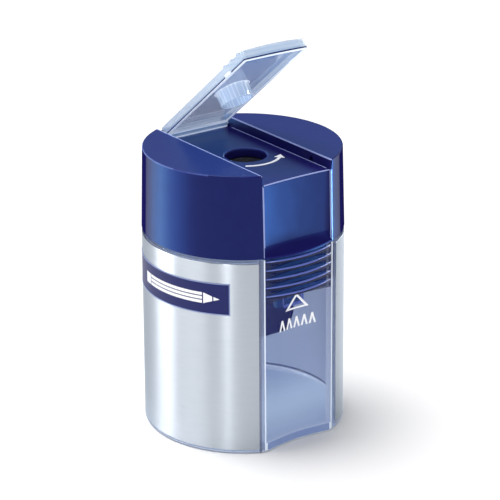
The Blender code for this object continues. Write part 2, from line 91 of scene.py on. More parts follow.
RIM_Z = tub_high.z                         # top of the tub's rim
FOOT_RADIUS = tub_high.y                   # tub and sleeve at the bottom
RIM_RADIUS = FOOT_RADIUS - 0.25 * MM       # tub and sleeve at the top
SLEEVE_BOTTOM, SLEEVE_TOP = sleeve_low.z, sleeve_high.z
HEAD_RADIUS = head_high.x                  # head at its lower edge
HEAD_TOP = head_high.z
HEAD_TOP_RADIUS = HEAD_RADIUS - 0.5 * MM
HEAD_BOTTOM = RIM_Z + 0.2 * MM
SKIRT_BOTTOM = 31.7 * MM
HINGE = Vector(joint("lid_hinge")["pos_m"])
LID_OPEN = math.radians(-joint("lid_hinge")["range_deg"][0])

WINDOW_HALF = 8.55 * MM                    # window between its corner posts
WINDOW_HOLLOW = 0.8 * MM                   # how far the window dishes in at its middle
WALL = 1.2 * MM
FLOOR = 1.6 * MM
SLEEVE_THICK = 0.25 * MM
SLEEVE_GAP = 0.2 * MM
EDGE_RIGHT, EDGE_LEFT = math.radians(29.2), math.radians(27.2)
CHANNEL_FLOOR = 57.85 * MM
CHANNEL_TOP_HALF = 8.45 * MM
CHANNEL_FOOT_HALF = 8.15 * MM
HOLE_Y = -1.1 * MM
HOLE_RADIUS = 4.15 * MM
print(f"rim at {RIM_Z * 1000:.1f} mm, head top at {HEAD_TOP * 1000:.1f} mm")
print(f"lid stands {math.degrees(LID_OPEN):.0f} degrees open")

# %% [markdown]
# ## The camera
#
# The view is through a long lens from the left of the front window and a little above, so
# the round top shows as a narrow ellipse and the upright edges stay nearly parallel. The camera
# is placed by angles about a point inside the body, which is easier to reason about than raw
# coordinates.

# %% Place the camera
CAMERA_AZIMUTH = math.radians(-35.87)
CAMERA_RISE = math.radians(21.51)
CAMERA_ROLL = math.radians(-0.3)
CAMERA_DISTANCE = 436.6 * MM
AIM_HEIGHT = 36.61 * MM
AIM_ASIDE = 1.43 * MM
LENS = 150.96
SENSOR = 36.0


def turned(azimuth, rise=0.0):
    """Unit direction at an azimuth from the front (-Y) towards +X, and a rise above level."""
    level = math.cos(rise)
    return Vector((math.sin(azimuth) * level, -math.cos(azimuth) * level, math.sin(rise)))


back = turned(CAMERA_AZIMUTH, CAMERA_RISE)
right = Vector((math.cos(CAMERA_AZIMUTH), math.sin(CAMERA_AZIMUTH), 0.0))
up = back.cross(right)
rolled_right = right * math.cos(CAMERA_ROLL) + up * math.sin(CAMERA_ROLL)
rolled_up = up * math.cos(CAMERA_ROLL) - right * math.sin(CAMERA_ROLL)
aim = Vector((0.0, 0.0, AIM_HEIGHT)) + right * AIM_ASIDE
lens = bpy.data.cameras.new("product_camera")
lens.lens = LENS
lens.sensor_width = SENSOR
lens.clip_start, lens.clip_end = 0.01, 20.0
camera = bpy.data.objects.new("product_camera", lens)
bpy.context.scene.collection.objects.link(camera)
axes = Matrix((rolled_right, rolled_up, back)).transposed()
camera.matrix_world = Matrix.Translation(aim + back * CAMERA_DISTANCE) @ axes.to_4x4()
bpy.context.scene.camera = camera
print("camera at", [round(c, 3) for c in camera.matrix_world.translation])

# %% [markdown]
# ## Light and floor
#
# Glossy plastic shows the room more than it shows its own colour, so a studio paints it with soft
# boxes, and keeps each one's light off the neighbours with cards. Here one wide soft sun, high on
# the left, lights everything. Each kind of piece then has soft boxes of its own that only show in
# its gloss: tall white ones for the foil, bluish ones for the head, and small ones for the clear
# pieces. Most of the head's boxes stand below the floor's level, where its walls mirror them up to
# the camera. A few weak suns fill the clear pieces and the ink.
#
# Which lamp reaches which piece is set near the end, when all the pieces exist. The room is a
# pale tent that is brighter overhead. The floor, laid with the finishes, is matt white paper.

# %% Tools for the studio
BODY_MIDDLE = Vector((0, 0, 30 * MM))      # where every lamp points


def linear(code):
    """Linear (r, g, b, 1) of an sRGB hex colour: below 0.04045 a straight line, above it a power."""
    srgb = np.array([int(code[i : i + 2], 16) for i in (1, 3, 5)]) / 255.0
    values = np.where(srgb <= 0.04045, srgb / 12.92, ((srgb + 0.055) / 1.055) ** 2.4)
    return (*values.tolist(), 1.0)


def away_from(azimuth, rise):
    """Unit direction given in degrees, with the azimuth counted from the camera's own."""
    return turned(CAMERA_AZIMUTH + math.radians(azimuth), math.radians(rise))


def lamp_at(name, kind, azimuth, rise, distance, power, colour):
    """A lamp that shines at the middle of the body from a direction."""
    lamp = bpy.data.lights.new(name, kind)
    lamp.energy = power
    lamp.color = linear(colour)[:3]
    placed = bpy.data.objects.new(name, lamp)
    bpy.context.scene.collection.objects.link(placed)
    away = away_from(azimuth, rise)
    placed.matrix_world = (
        Matrix.Translation(BODY_MIDDLE + away * distance)
        @ away.to_track_quat("Z", "Y").to_matrix().to_4x4()
    )
    return placed


def gloss_box(name, azimuth, rise, distance, width, height, power, colour="#FFFFFF"):
    """A soft box that only shows in glossy surfaces, so it doesn't light the paper."""
    box = lamp_at(name, "AREA", azimuth, rise, distance, power, colour)
    box.data.shape = "RECTANGLE"
    box.data.size, box.data.size_y = width, height
    box.visible_diffuse = False
    return box


# %% Hang the soft boxes
# A sun: name, kind, azimuth and rise in degrees, distance, power, colour. Its distance is only a
# place to stand, and its angle is how wide it looks, so how soft its shadows are.
key = lamp_at("soft_key", "SUN", -112, 74, 1.0, 2.05, "#FFFEFD")
key.data.angle = math.radians(32)

# A soft box: name, azimuth, rise, distance, width and height in metres, power, colour.
foil_lamps = [
    gloss_box("foil_left_strip", -95, 14, 0.55, 0.24, 0.7, 9.5),
    gloss_box("foil_left_front", -55, 12, 0.8, 0.4, 0.6, 2.5),
    gloss_box("foil_front_strip", -17, 12, 0.8, 0.1, 0.6, 1.9),
    gloss_box("foil_back_right", 140, 12, 0.55, 0.15, 0.7, 4.0),
]
head_lamps = [
    gloss_box("head_left_strip", -110, -20, 0.5, 0.16, 0.3, 3.4, "#7CC2FF"),
    gloss_box("head_left_wide", -84, -20, 0.6, 0.3, 0.3, 2.4, "#5FA4FF"),
    gloss_box("head_panel_strip", 98, -20, 0.5, 0.12, 0.3, 12.0, "#66B0FF"),
    gloss_box("head_back_right", 132, -20, 0.5, 0.08, 0.3, 2.0, "#8FC4FF"),
    gloss_box("head_top_back", 176, 24, 0.9, 0.9, 0.4, 1.5, "#469EF4"),
]
clear_lamps = [
    gloss_box("clear_left_strip", -100, 4, 0.55, 0.12, 0.3, 2.2, "#F2F6FF"),
    gloss_box("clear_top_strip", 20, 70, 0.6, 0.4, 0.12, 3.5, "#F2F6FF"),
    gloss_box("clear_right_strip", 112, 12, 0.55, 0.1, 0.6, 4.0, "#F2F6FF"),
]

# Weak suns that fill the clear pieces and the ink.
tub_fill = lamp_at("tub_fill", "SUN", 12, 54, 1.0, 1.9, "#DAEDFF")
tub_side = lamp_at("tub_side", "SUN", -75, 15, 1.0, 0.85, "#F2F2F8")
lid_under = lamp_at("lid_under", "SUN", 10, -28, 1.0, 2.2, "#E6F0FF")
mark_fill = lamp_at("mark_fill", "SUN", -10, 45, 1.0, 1.4, "#FFFFFF")
lid_fill = lamp_at("lid_fill", "SUN", -98, 12, 1.0, 1.15, "#E8F6FF")
print("lamps:", len(bpy.data.lights))


# %% Pitch the pale tent
def node(tree, kind, settings=None, links=None):
    """Adds a node. settings are its properties and input values, links are {input: output}."""
    made = tree.nodes.new(kind)
    for key, value in (settings or {}).items():
        if isinstance(key, str) and hasattr(made, key):
            setattr(made, key, value)
        else:
            made.inputs[key].default_value = value
    for key, source in (links or {}).items():
        tree.links.new(source, made.inputs[key])
    return made


TENT_LOW, TENT_HIGH = 0.14, 0.84           # brightness from level to straight up
room = bpy.data.worlds.new("pale_tent")
room.use_nodes = True
sky = room.node_tree
sky.nodes["Background"].inputs["Color"].default_value = linear("#FDFDFD")
direction = node(sky, "ShaderNodeTexCoord")
axis = node(sky, "ShaderNodeSeparateXYZ", links={"Vector": direction.outputs["Generated"]})
rise = node(
    sky, "ShaderNodeMapRange", {"To Min": TENT_LOW, "To Max": TENT_HIGH},
    {"Value": axis.outputs["Z"]})
sky.links.new(rise.outputs["Result"], sky.nodes["Background"].inputs["Strength"])
bpy.context.scene.world = room
bpy.context.scene.view_settings.view_transform = "Standard"

# %% [markdown]
# ## Tools for shells
#
# Most pieces here are shells: a closed outline that changes a little from level to level. If each
# level is an array of points and all levels have the same count, the whole surface is one grid
# and its faces follow from the grid's own numbering. So one tool lifts a flat outline to a level,
# and another stacks the levels into a closed mesh.

# %% Tools for shells
def put_mesh(name, points, faces):
    """An object at the origin from arrays of points and faces, with its faces turned outwards."""
    mesh = bpy.data.meshes.new(name)
    mesh.from_pydata(np.asarray(points).tolist(), [], faces)
    work = bmesh.new()
    work.from_mesh(mesh)
    bmesh.ops.remove_doubles(work, verts=work.verts, dist=1e-7)
    bmesh.ops.recalc_face_normals(work, faces=work.faces)
    work.to_mesh(mesh)
    work.free()
    made = bpy.data.objects.new(name, mesh)
    bpy.context.scene.collection.objects.link(made)
    return made


def grid_quads(rows, columns, around=True):
    """Quads of a grid of points numbered row by row; around joins the last column to the first."""
    span = columns if around else columns - 1
    row, column = np.meshgrid(np.arange(rows - 1), np.arange(span), indexing="ij")
    after = (column + 1) % columns
    quads = np.stack(
        [row * columns + column, row * columns + after, (row + 1) * columns + after,
         (row + 1) * columns + column], axis=-1)
    return quads.reshape(-1, 4).tolist()


def stack(name, levels):
    """A closed shell through levels, an array (levels, points, 3), with flat ends."""
    levels = np.asarray(levels, float)
    rows, columns = levels.shape[:2]
    faces = grid_quads(rows, columns)
    faces.append(list(range(columns - 1, -1, -1)))
    faces.append(list(range((rows - 1) * columns, rows * columns)))
    return put_mesh(name, levels.reshape(-1, 3), faces)


def at_height(outline, z):
    """A level: the (n, 2) outline lifted to height z."""
    return np.column_stack([outline, np.full(len(outline), z)])


# %% [markdown]
# Cuts and joins are Booleans between closed meshes, kept at once so that the next step works on
# plain geometry. Where a width is given, sharp edges are then rounded with a Bevel, and weighted
# normals keep the large flat faces flat in the light.

# %% Tools for cutting and rounding
def carve(target, tool, operation="DIFFERENCE"):
    """Runs an exact Boolean on target and removes the tool."""
    step = target.modifiers.new("carve", "BOOLEAN")
    step.operation, step.solver, step.object = operation, "EXACT", tool
    keep_modifiers(target)
    bpy.data.objects.remove(tool, do_unlink=True)
    return target


def keep_modifiers(target):
    """Replaces the object's mesh by what its modifiers make of it."""
    view = bpy.context.evaluated_depsgraph_get()
    made = bpy.data.meshes.new_from_object(target.evaluated_get(view))
    target.modifiers.clear()
    target.data = made
    made.name = target.name


def soften(target, width=0.0, degrees=35.0, segments=3):
    """With a width, rounds edges sharper than an angle; then shades smooth with flats kept flat."""
    if width:
        step = target.modifiers.new("round_edges", "BEVEL")
        step.width, step.segments = width, segments
        step.limit_method = "ANGLE"
        step.angle_limit = math.radians(degrees)
        step.use_clamp_overlap = True
        step.harden_normals = False
        keep_modifiers(target)
    target.data.shade_smooth()
    target.data.set_sharp_from_angle(angle=math.radians(degrees))
    weigh = target.modifiers.new("flat_faces_lead", "WEIGHTED_NORMAL")
    weigh.keep_sharp = True
    weigh.weight = 80
    keep_modifiers(target)
    return target


# %% [markdown]
# A piece gets its main finish as a whole. Some of its faces then get another one, such as a bright
# line along an edge. Those faces are chosen by where their middles lie, all at once, as a mask.

# %% Tools for dressing a piece
def face_centres(target):
    """The middle of every face, as an array (faces, 3)."""
    centres = np.empty((len(target.data.polygons), 3))
    target.data.polygons.foreach_get("center", centres.ravel())
    return centres


def trim(target, finish, chosen):
    """Gives the chosen faces, a mask, another finish than the rest of the piece."""
    index = np.empty(len(target.data.polygons), np.int32)
    target.data.polygons.foreach_get("material_index", index)
    target.data.materials.append(finish)
    index[chosen] = len(target.data.materials) - 1
    target.data.polygons.foreach_set("material_index", index)


def dress(target, finish, body):
    """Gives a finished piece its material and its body."""
    target.data.materials.clear()
    target.data.materials.append(finish)
    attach(target, body)
    print(f"{target.name}: {len(target.data.polygons)} faces")
    return target


# %% [markdown]
# ## Finishes
#
# Every material starts from the stuff itself. The clear parts are polystyrene, stiff and glassy,
# with a breath of blue. The head is ABS from a polished mould, glossy with a faint unevenness
# that only shows in the highlights. The sleeve is a metallised film, and the marks are
# screen-printed ink.

# %% Helpers for finishes
def new_finish(name, **sockets):
    """A material with one Principled shader, whose sockets are given by name with _ for space."""
    made = bpy.data.materials.new(name)
    made.use_nodes = True
    shader = made.node_tree.nodes["Principled BSDF"]
    for key, value in sockets.items():
        shader.inputs[key.replace("_", " ")].default_value = value
    return made, made.node_tree, shader


def uneven(tree, shader, size, strength, depth, low, high, detail=3.0, stretch=(1, 1, 1)):
    """Moulded unevenness: noise of a size in metres moves the roughness and lifts the surface.

    Gives back the noise's output, from 0 to 1.
    """
    place = node(tree, "ShaderNodeTexCoord")
    turn = node(tree, "ShaderNodeMapping", {"Scale": stretch}, {"Vector": place.outputs["Object"]})
    noise = node(
        tree, "ShaderNodeTexNoise", {"Scale": 1.0 / size, "Detail": detail},
        {"Vector": turn.outputs["Vector"]})
    rough = node(
        tree, "ShaderNodeMapRange", {"To Min": low, "To Max": high},
        {"Value": noise.outputs["Fac"]})
    bump = node(
        tree, "ShaderNodeBump", {"Strength": strength, "Distance": depth},
        {"Height": noise.outputs["Fac"]})
    tree.links.new(rough.outputs["Result"], shader.inputs["Roughness"])
    tree.links.new(bump.outputs["Normal"], shader.inputs["Normal"])
    return noise.outputs["Fac"]


def vary_colour(tree, shader, share, first, last):
    """Base colour between two shades: the first where the share is 0, the last where it is 1."""
    mix = node(tree, "ShaderNodeMix", {"data_type": "RGBA"}, {"Factor": share})
    mix.inputs[6].default_value = linear(first)
    mix.inputs[7].default_value = linear(last)
    tree.links.new(mix.outputs[2], shader.inputs["Base Color"])


def fade(finish, start, end, first, last, middle=None):
    """Lets the base colour change along Y between two places, or both ways out from a middle."""
    tree = finish.node_tree
    place = node(tree, "ShaderNodeTexCoord")
    parts = node(tree, "ShaderNodeSeparateXYZ", links={"Vector": place.outputs["Object"]})
    along = parts.outputs["Y"]
    if middle is not None:
        beside = node(tree, "ShaderNodeMath", {"operation": "SUBTRACT", 1: middle}, {0: along})
        away = node(
            tree, "ShaderNodeMath", {"operation": "ABSOLUTE"}, {0: beside.outputs["Value"]})
        along = away.outputs["Value"]
    share = node(
        tree, "ShaderNodeMapRange", {"From Min": start, "From Max": end}, {"Value": along})
    vary_colour(tree, tree.nodes["Principled BSDF"], share.outputs["Result"], first, last)


# %% Clear polystyrene
# Injection-moulded general purpose polystyrene: IOR 1.59, no scatter, a pale blue dye. The mould
# is polished, so only slow waves a few millimetres long disturb it. The density is how much of
# what lies behind is covered, and it is high where the plastic is thick or seen edge-on. Less
# gloss calms faces that would mirror the whole room.
def clear_polystyrene(name, tint, density, gloss=1.0):
    """Clear plastic of a tint that covers a share of what is behind it."""
    made, tree, shader = new_finish(
        name, Base_Color=linear(tint), Alpha=density, IOR=1.59, Specular_IOR_Level=gloss)
    uneven(tree, shader, 4.0 * MM, 0.04, 0.1 * MM, 0.05, 0.12)
    return made


tub_clear = clear_polystyrene("clear_polystyrene_tub", "#CBD3E4", 0.55)
window_clear = clear_polystyrene("clear_polystyrene_window", "#4A5CC8", 0.05)
floor_clear = clear_polystyrene("clear_polystyrene_floor", "#C6D4E4", 0.7)

# The ribs get painted light: a painted highlight along each upper edge, and painted shade in the
# core and in the gap below it.
rib_core_shade = clear_polystyrene("clear_polystyrene_rib_core", "#0A0B38", 0.85, 0.2)
rib_gap_shade = clear_polystyrene("clear_polystyrene_rib_gap", "#0E104A", 0.65, 0.2)
rib_and_catch_highlight = clear_polystyrene("clear_polystyrene_rib_and_catch_highlight", "#6773BC", 0.85, 0.5)

# The lid is tinted more where its plate is thick. Its walls are painted paler, as the light they
# reflect, and its top and plug cup are given paler shades too.
lid_clear = clear_polystyrene("clear_polystyrene_lid", "#A6BBD4", 0.6, 0.7)
top_clear = clear_polystyrene("clear_polystyrene_lid_top", "#769AC4", 0.45, 0.4)
plate_clear = clear_polystyrene("clear_polystyrene_lid_plate", "#3F679C", 0.76, 0.7)
cup_reflection_clear = clear_polystyrene("clear_polystyrene_cup_reflection", "#DCE8F6", 0.65, 0.7)
cup_clear = clear_polystyrene("clear_polystyrene_cup", "#C4D6EC", 0.6)
wall_clear = clear_polystyrene("clear_polystyrene_lid_wall", "#8298B4", 0.6, 0.7)

# Painted highlight and painted shade for edges and posts: bright where light would leave the
# plastic, dark where it would be turned away.
bright_clear = clear_polystyrene("clear_polystyrene_bright_edge", "#F0F6FF", 0.85)
sill_shade_clear = clear_polystyrene("clear_polystyrene_sill_shade", "#6F86BC", 0.7)
line_clear = clear_polystyrene("clear_polystyrene_fine_line", "#22305F", 0.95, 0.4)
dark_clear = clear_polystyrene("clear_polystyrene_dark_line", "#2A3560", 0.7)

# Painted light on the tub's floor: palest under the middle of the opening, with painted shade
# towards the walls in front and behind.
fade(floor_clear, 2 * MM, 16 * MM, "#DEEAF6", "#98A6C2", middle=-5 * MM)
# Painted shade darkens the lid and its plate towards the back.
fade(lid_clear, -6 * MM, 14 * MM, "#ADC2D8", "#86A0C0")
fade(plate_clear, -6 * MM, 12 * MM, "#3F679C", "#2E5082")

# %% Blue ABS
# ABS from a polished steel mould: IOR 1.54. The dye is royal blue, and the skin's gloss is bluish
# too. The unevenness is the slow shrinkage of a thick wall, so its scale is several millimetres.
# The gloss fades where a face turns edge-on to the eye, or the pale room would wash the colour
# out there. The lighter shades are painted highlights for rounded edges and fine lines that catch
# the light.
RIM_START, RIM_END = 0.45, 0.74            # how far a face has turned where the gloss fades


def moulded_abs(name, dark, light, low, high, gloss=0.3):
    """Blue plastic between two shades, with a roughness from low to high."""
    made, tree, shader = new_finish(name, IOR=1.54, Specular_Tint=linear("#82B8FF"))
    noise = uneven(tree, shader, 3.0 * MM, 0.05, 0.1 * MM, low, high, detail=4.0)
    vary_colour(tree, shader, noise, dark, light)
    rim = node(tree, "ShaderNodeLayerWeight", {"Blend": 0.5})
    level = node(
        tree, "ShaderNodeMapRange",
        {"From Min": RIM_START, "From Max": RIM_END, "To Min": gloss, "To Max": 0.0},
        {"Value": rim.outputs["Facing"]})
    tree.links.new(level.outputs["Result"], shader.inputs["Specular IOR Level"])
    return made


head_blue = moulded_abs("moulded_blue_abs", "#1C195B", "#201D64", 0.26, 0.32)
soft_blue = moulded_abs("moulded_blue_abs_flare", "#1E1C62", "#221F6A", 0.42, 0.5, 0.04)
line_highlight_blue = moulded_abs("moulded_blue_abs_line_highlight", "#6375B6", "#6C7FBE", 0.2, 0.26)
rim_highlight_blue = moulded_abs("moulded_blue_abs_rim_highlight", "#3F4A92", "#48549C", 0.2, 0.26)
edge_highlight_blue = moulded_abs("moulded_blue_abs_edge_highlight", "#A3B0EA", "#AFBCF2", 0.2, 0.26)
skirt_blue = moulded_abs("moulded_blue_abs_skirt", "#181852", "#1C1C5A", 0.4, 0.5, 0.06)
carrier_blue = moulded_abs("moulded_dark_blue_abs", "#1D184E", "#211C58", 0.3, 0.4)

# %% Foil, metals and ink
# The sleeve is polyester film with a vapour-coated aluminium layer, so it is a metal to the eye.
# Its coating runs round the tub, which drags the highlights a little: noise stretched level.
foil, tree, shader = new_finish(
    "metallised_film", Metallic=1.0, Anisotropic=0.85, Anisotropic_Rotation=0.25,
    Specular_Tint=linear("#CAD0D6"))
noise = uneven(
    tree, shader, 0.6 * MM, 0.02, 0.02 * MM, 0.26, 0.32, detail=5.0, stretch=(0.15, 0.15, 1.0))
vary_colour(tree, shader, noise, "#B1B8C0", "#B9BFC7")
round_axis = node(tree, "ShaderNodeTangent", {"direction_type": "RADIAL", "axis": "Z"})
tree.links.new(round_axis.outputs["Tangent"], shader.inputs["Tangent"])

# Die-cast magnesium: a skin of fine grains about half a millimetre across.
cast_magnesium, tree, shader = new_finish("cast_magnesium", Metallic=1.0)
noise = uneven(tree, shader, 0.5 * MM, 0.25, 0.03 * MM, 0.32, 0.5, detail=6.0)
vary_colour(tree, shader, noise, "#9C9DA0", "#B4B5B8")

# Hardened steel strip, ground lengthwise: grinding lines run down the blade.
ground_steel, tree, shader = new_finish("ground_blade_steel", Metallic=1.0)
noise = uneven(
    tree, shader, 0.12 * MM, 0.15, 0.01 * MM, 0.12, 0.25, detail=4.0, stretch=(1.0, 0.04, 0.04))
vary_colour(tree, shader, noise, "#C3C4C8", "#D2D3D6")

# Zinc-plated screw steel, turned: a softer, slightly warm metal.
plated_steel, tree, shader = new_finish("zinc_plated_steel", Metallic=1.0)
noise = uneven(tree, shader, 0.3 * MM, 0.1, 0.01 * MM, 0.22, 0.35)
vary_colour(tree, shader, noise, "#B3B0A6", "#C6C3B8")


# Screen ink lies as a thin matt film with a slight orange-peel.
def screen_ink(name, dark, light):
    """Ink between two near shades."""
    made, tree, shader = new_finish(name, IOR=1.5, Specular_IOR_Level=0.2)
    noise = uneven(tree, shader, 0.25 * MM, 0.08, 0.01 * MM, 0.35, 0.5)
    vary_colour(tree, shader, noise, dark, light)
    return made


white_ink = screen_ink("white_screen_ink", "#F2F4FA", "#FDFDFF")
navy_ink = screen_ink("navy_screen_ink", "#1C2468", "#20286E")
pale_ink = screen_ink("pale_blue_screen_ink", "#8A9AD0", "#9AA9DA")

# %% Lay the paper floor
# White seamless paper, matt, with a faint tooth. It lies a hair below the tub, so they don't touch.
PAPER_HALF = 3.0
PAPER_Z = -0.02 * MM
paper, tree, shader = new_finish("white_paper", Base_Color=linear("#FAFAFB"))
uneven(tree, shader, 1.5 * MM, 0.05, 0.05 * MM, 0.85, 0.95)
span = np.linspace(-PAPER_HALF, PAPER_HALF, 3)
floor_points = np.stack(np.meshgrid(span, span, [PAPER_Z], indexing="ij"), -1).reshape(-1, 3)
floor = put_mesh("paper_floor", floor_points, grid_quads(3, 3, around=False))
if floor.data.polygons[0].normal.z < 0:
    floor.data.flip_normals()
floor.data.materials.append(paper)

# %% [markdown]
# ## The body's outline
#
# Seen from above, the tub is a circle whose front is sliced off by the window, with a small
# rounded post at each end of the slice. Written as a path, that is four stretches: the window
# line, a corner arc, the long way round the circle, and the second corner arc. The corner arc's
# centre lies one corner radius inside both the circle and the window, so it touches both.

# %% Outline of the tub
ROUND_POINTS = 200
CORNER_POINTS = 8
WINDOW_POINTS = 40


def body_radius(z):
    """Outer radius at a height: it narrows evenly from the foot to the rim."""
    return FOOT_RADIUS + (RIM_RADIUS - FOOT_RADIUS) * z / RIM_Z


def window_y(z):
    """Y of the window's face at its edges: where the circle reaches the window's half width."""
    return -math.sqrt(body_radius(z) ** 2 - WINDOW_HALF ** 2)


def sliced_circle(radius, front_y, corner, hollow=0.0, groove=0.0, seams=True):
    """Outline (n, 2) of a circle sliced at y = front_y with corners rounded, anticlockwise.

    The window dips by hollow * (1 - (x / half)^2)^2. With seams, points lie on the sleeve's two
    edges, and a groove takes the circle in by that much between them.
    """
    centre_y = front_y + corner
    centre_x = math.sqrt((radius - corner) ** 2 - centre_y ** 2)
    x = np.linspace(-centre_x, centre_x, WINDOW_POINTS)
    window = np.column_stack([x, front_y + hollow * (1 - (x / centre_x) ** 2) ** 2])
    tip = math.atan2(centre_y, centre_x)
    turn = np.linspace(-0.5 * math.pi, tip, CORNER_POINTS + 1)[1:]
    post = np.column_stack([centre_x + corner * np.cos(turn), centre_y + corner * np.sin(turn)])
    sweep = np.linspace(tip, math.pi - tip, ROUND_POINTS + 12)[1:-1]
    if seams:
        start, end = -0.5 * math.pi + EDGE_RIGHT, 1.5 * math.pi - EDGE_LEFT
        hair = math.radians(0.25)
        sweep = np.concatenate([
            np.linspace(tip, start - hair, 6)[1:],
            np.linspace(start, end, ROUND_POINTS),
            np.linspace(end + hair, math.pi - tip, 6)[:-1],
        ])
        reach = radius - groove * ((sweep >= start) & (sweep <= end))
    else:
        reach = np.full(len(sweep), radius)
    round_part = np.column_stack([reach * np.cos(sweep), reach * np.sin(sweep)])
    other = post[::-1] * [-1, 1]
    return np.concatenate([window, post, round_part, other[:-1]])


print("outline points:", len(sliced_circle(FOOT_RADIUS, window_y(0), 0.5 * MM, WINDOW_HOLLOW)))

# %% [markdown]
# ## The clear tub
#
# A moulded tub is one skin folded back on itself: up the outside, over the rim and down the
# inside to the floor. So we list its levels in that order, each with a height and an inset, and
# stack them. Small arcs at the foot and the inner floor keep those edges soft. Last, the gap
# where the front window sits is cut out between the posts.

# %% Make the tub
FOOT_ROUND, POST_ROUND = 0.5 * MM, 0.5 * MM
GROOVE = SLEEVE_THICK + SLEEVE_GAP
WINDOW_SILL = 2.0 * MM
arc = np.linspace(0, 0.5 * math.pi, 6)


def outer_level(z, inset=0.0, groove=0.0):
    """A level of the tub's outside."""
    outline = sliced_circle(
        body_radius(z) - inset, window_y(z) + inset, POST_ROUND, WINDOW_HOLLOW, groove)
    return at_height(outline, z)


def inner_level(z, inset=0.0):
    """A level of the tub's inside."""
    outline = sliced_circle(
        body_radius(z) - GROOVE - WALL - inset, window_y(z) + 1.1 * MM + inset,
        0.3 * MM, WINDOW_HOLLOW)
    return at_height(outline, z)


tub_levels = [outer_level(0.0, 2.5 * MM)]
tub_levels += [
    outer_level(FOOT_ROUND * (1 - math.cos(a)), FOOT_ROUND * (1 - math.sin(a))) for a in arc
]
tub_levels += [
    outer_level(0.54 * MM),
    outer_level(0.56 * MM, groove=GROOVE),
    outer_level(0.5 * RIM_Z, groove=GROOVE),
    outer_level(RIM_Z - 0.52 * MM, groove=GROOVE),
    outer_level(RIM_Z - 0.5 * MM),
    outer_level(RIM_Z - 0.12 * MM),
    outer_level(RIM_Z - 0.03 * MM, 0.04 * MM),
    outer_level(RIM_Z, 0.14 * MM),
    inner_level(RIM_Z, -0.1 * MM),
    inner_level(RIM_Z - 0.1 * MM),
    inner_level(0.5 * RIM_Z),
]
INNER_ROUND = 0.7 * MM
tub_levels += [
    inner_level(FLOOR + INNER_ROUND * (1 - math.sin(a)), INNER_ROUND * (1 - math.cos(a)))
    for a in arc
]
tub_levels.append(inner_level(FLOOR, 3.0 * MM))
tub = stack("tub_shell", tub_levels)


def brick(name, low, high):
    """A rectangular cutter between two corners."""
    x, y = [low[0], high[0], high[0], low[0]], [low[1], low[1], high[1], high[1]]
    return stack(name, [np.column_stack([x, y, np.full(4, z)]) for z in (low[2], high[2])])


WINDOW_PIECE_HALF = 8.3 * MM               # half the width of the window's own plate
GAP_HALF = WINDOW_PIECE_HALF + 0.06 * MM
carve(tub, brick(
    "window_gap", (-GAP_HALF, -25 * MM, WINDOW_SILL), (GAP_HALF, -15 * MM, RIM_Z + 1 * MM)))
soften(tub)
dress(tub, tub_clear, "tub_body")

# %% [markdown]
# The posts beside the window and the rim are bare of foil and clearest. Each post has a bright line
# of painted highlight beside the window, and the left one a dark line of painted shade where it
# meets the foil. The sill below the window is painted darker, as shade, over a foot with a painted
# highlight, a dark line of painted shade runs round the inside of the floor, and the floor itself
# has painted light, palest under the opening.

# %% Finish the tub's posts, sill and floor
POST_START, POST_LINE, POST_END = 22.8, 24.4, 29.3     # degrees from the front
LEFT_LINE_START, LEFT_LINE_END = 26.0, 27.6
INNER_RADIUS = FOOT_RADIUS - GROOVE - WALL
centres = face_centres(tub)
x, y, z = centres.T
reach = np.hypot(x, y)
from_front = np.degrees(np.arctan2(np.abs(x), -y))
outside = reach > body_radius(z) - 0.35 * MM
above_foot = z > 0.6 * MM
trim(tub, window_clear, outside & (from_front > POST_LINE) & (from_front < POST_END) & above_foot)
trim(tub, window_clear, outside & (z > RIM_Z - 0.52 * MM))
# A line of painted shade on the left post, where it meets the foil.
left_line = (from_front > LEFT_LINE_START) & (from_front < LEFT_LINE_END)
trim(tub, dark_clear, outside & (x < 0) & left_line)
# Painted shade on the sill's front, and a painted highlight along the foot below it.
front = (y < window_y(0) + 1.0 * MM) & (np.abs(x) < WINDOW_HALF)
trim(tub, sill_shade_clear, front & (z > 0.5 * MM) & (z < WINDOW_SILL - 0.3 * MM))
trim(tub, bright_clear, front & (z < 0.3 * MM))
# The inner floor takes the finish with painted light and painted shade.
inner_floor = (reach < INNER_RADIUS - 0.4 * MM) & (np.abs(z - FLOOR) < 0.05 * MM)
trim(tub, floor_clear, inner_floor)
# A line of painted shade round the inside of the floor.
inner_foot = (reach < INNER_RADIUS + 0.1 * MM) & (y > -16 * MM)
trim(tub, dark_clear, inner_foot & (np.abs(z - FLOOR - 0.5 * MM) < 0.15 * MM))
# A line of painted highlight on each post beside the window.
bright_post = (from_front > POST_START) & (from_front <= POST_LINE)
trim(tub, bright_clear, outside & bright_post & above_foot)
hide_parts("tub")

# %% [markdown]
# ## The front window and its ribs
#
# The window is one clear plate. Near its top five thin ribs stand out from the dished plate to the
# round line of the body, which gives the thumb its grip. One formula makes the whole outer face:
# y = plate + share * (circle - plate), where the share is 1 on a rib and 0 between ribs. The inner
# face is the plate's own shape, moved back by its thickness, with the small rectangular catch
# raised on it. So we first list the heights where a rib begins, peaks and ends, and the catch's
# two edges, with the rib's share at each.

# %% List the window's levels
PLATE_THICK = 1.0 * MM
RIB_TOP = 42.0 * MM
RIB_PITCH = 1.86 * MM
RIB_COUNT = 5
CATCH_HALF, CATCH_OUT = 2.45 * MM, 0.55 * MM
CATCH_LOW, CATCH_HIGH = 30.1 * MM, 32.7 * MM

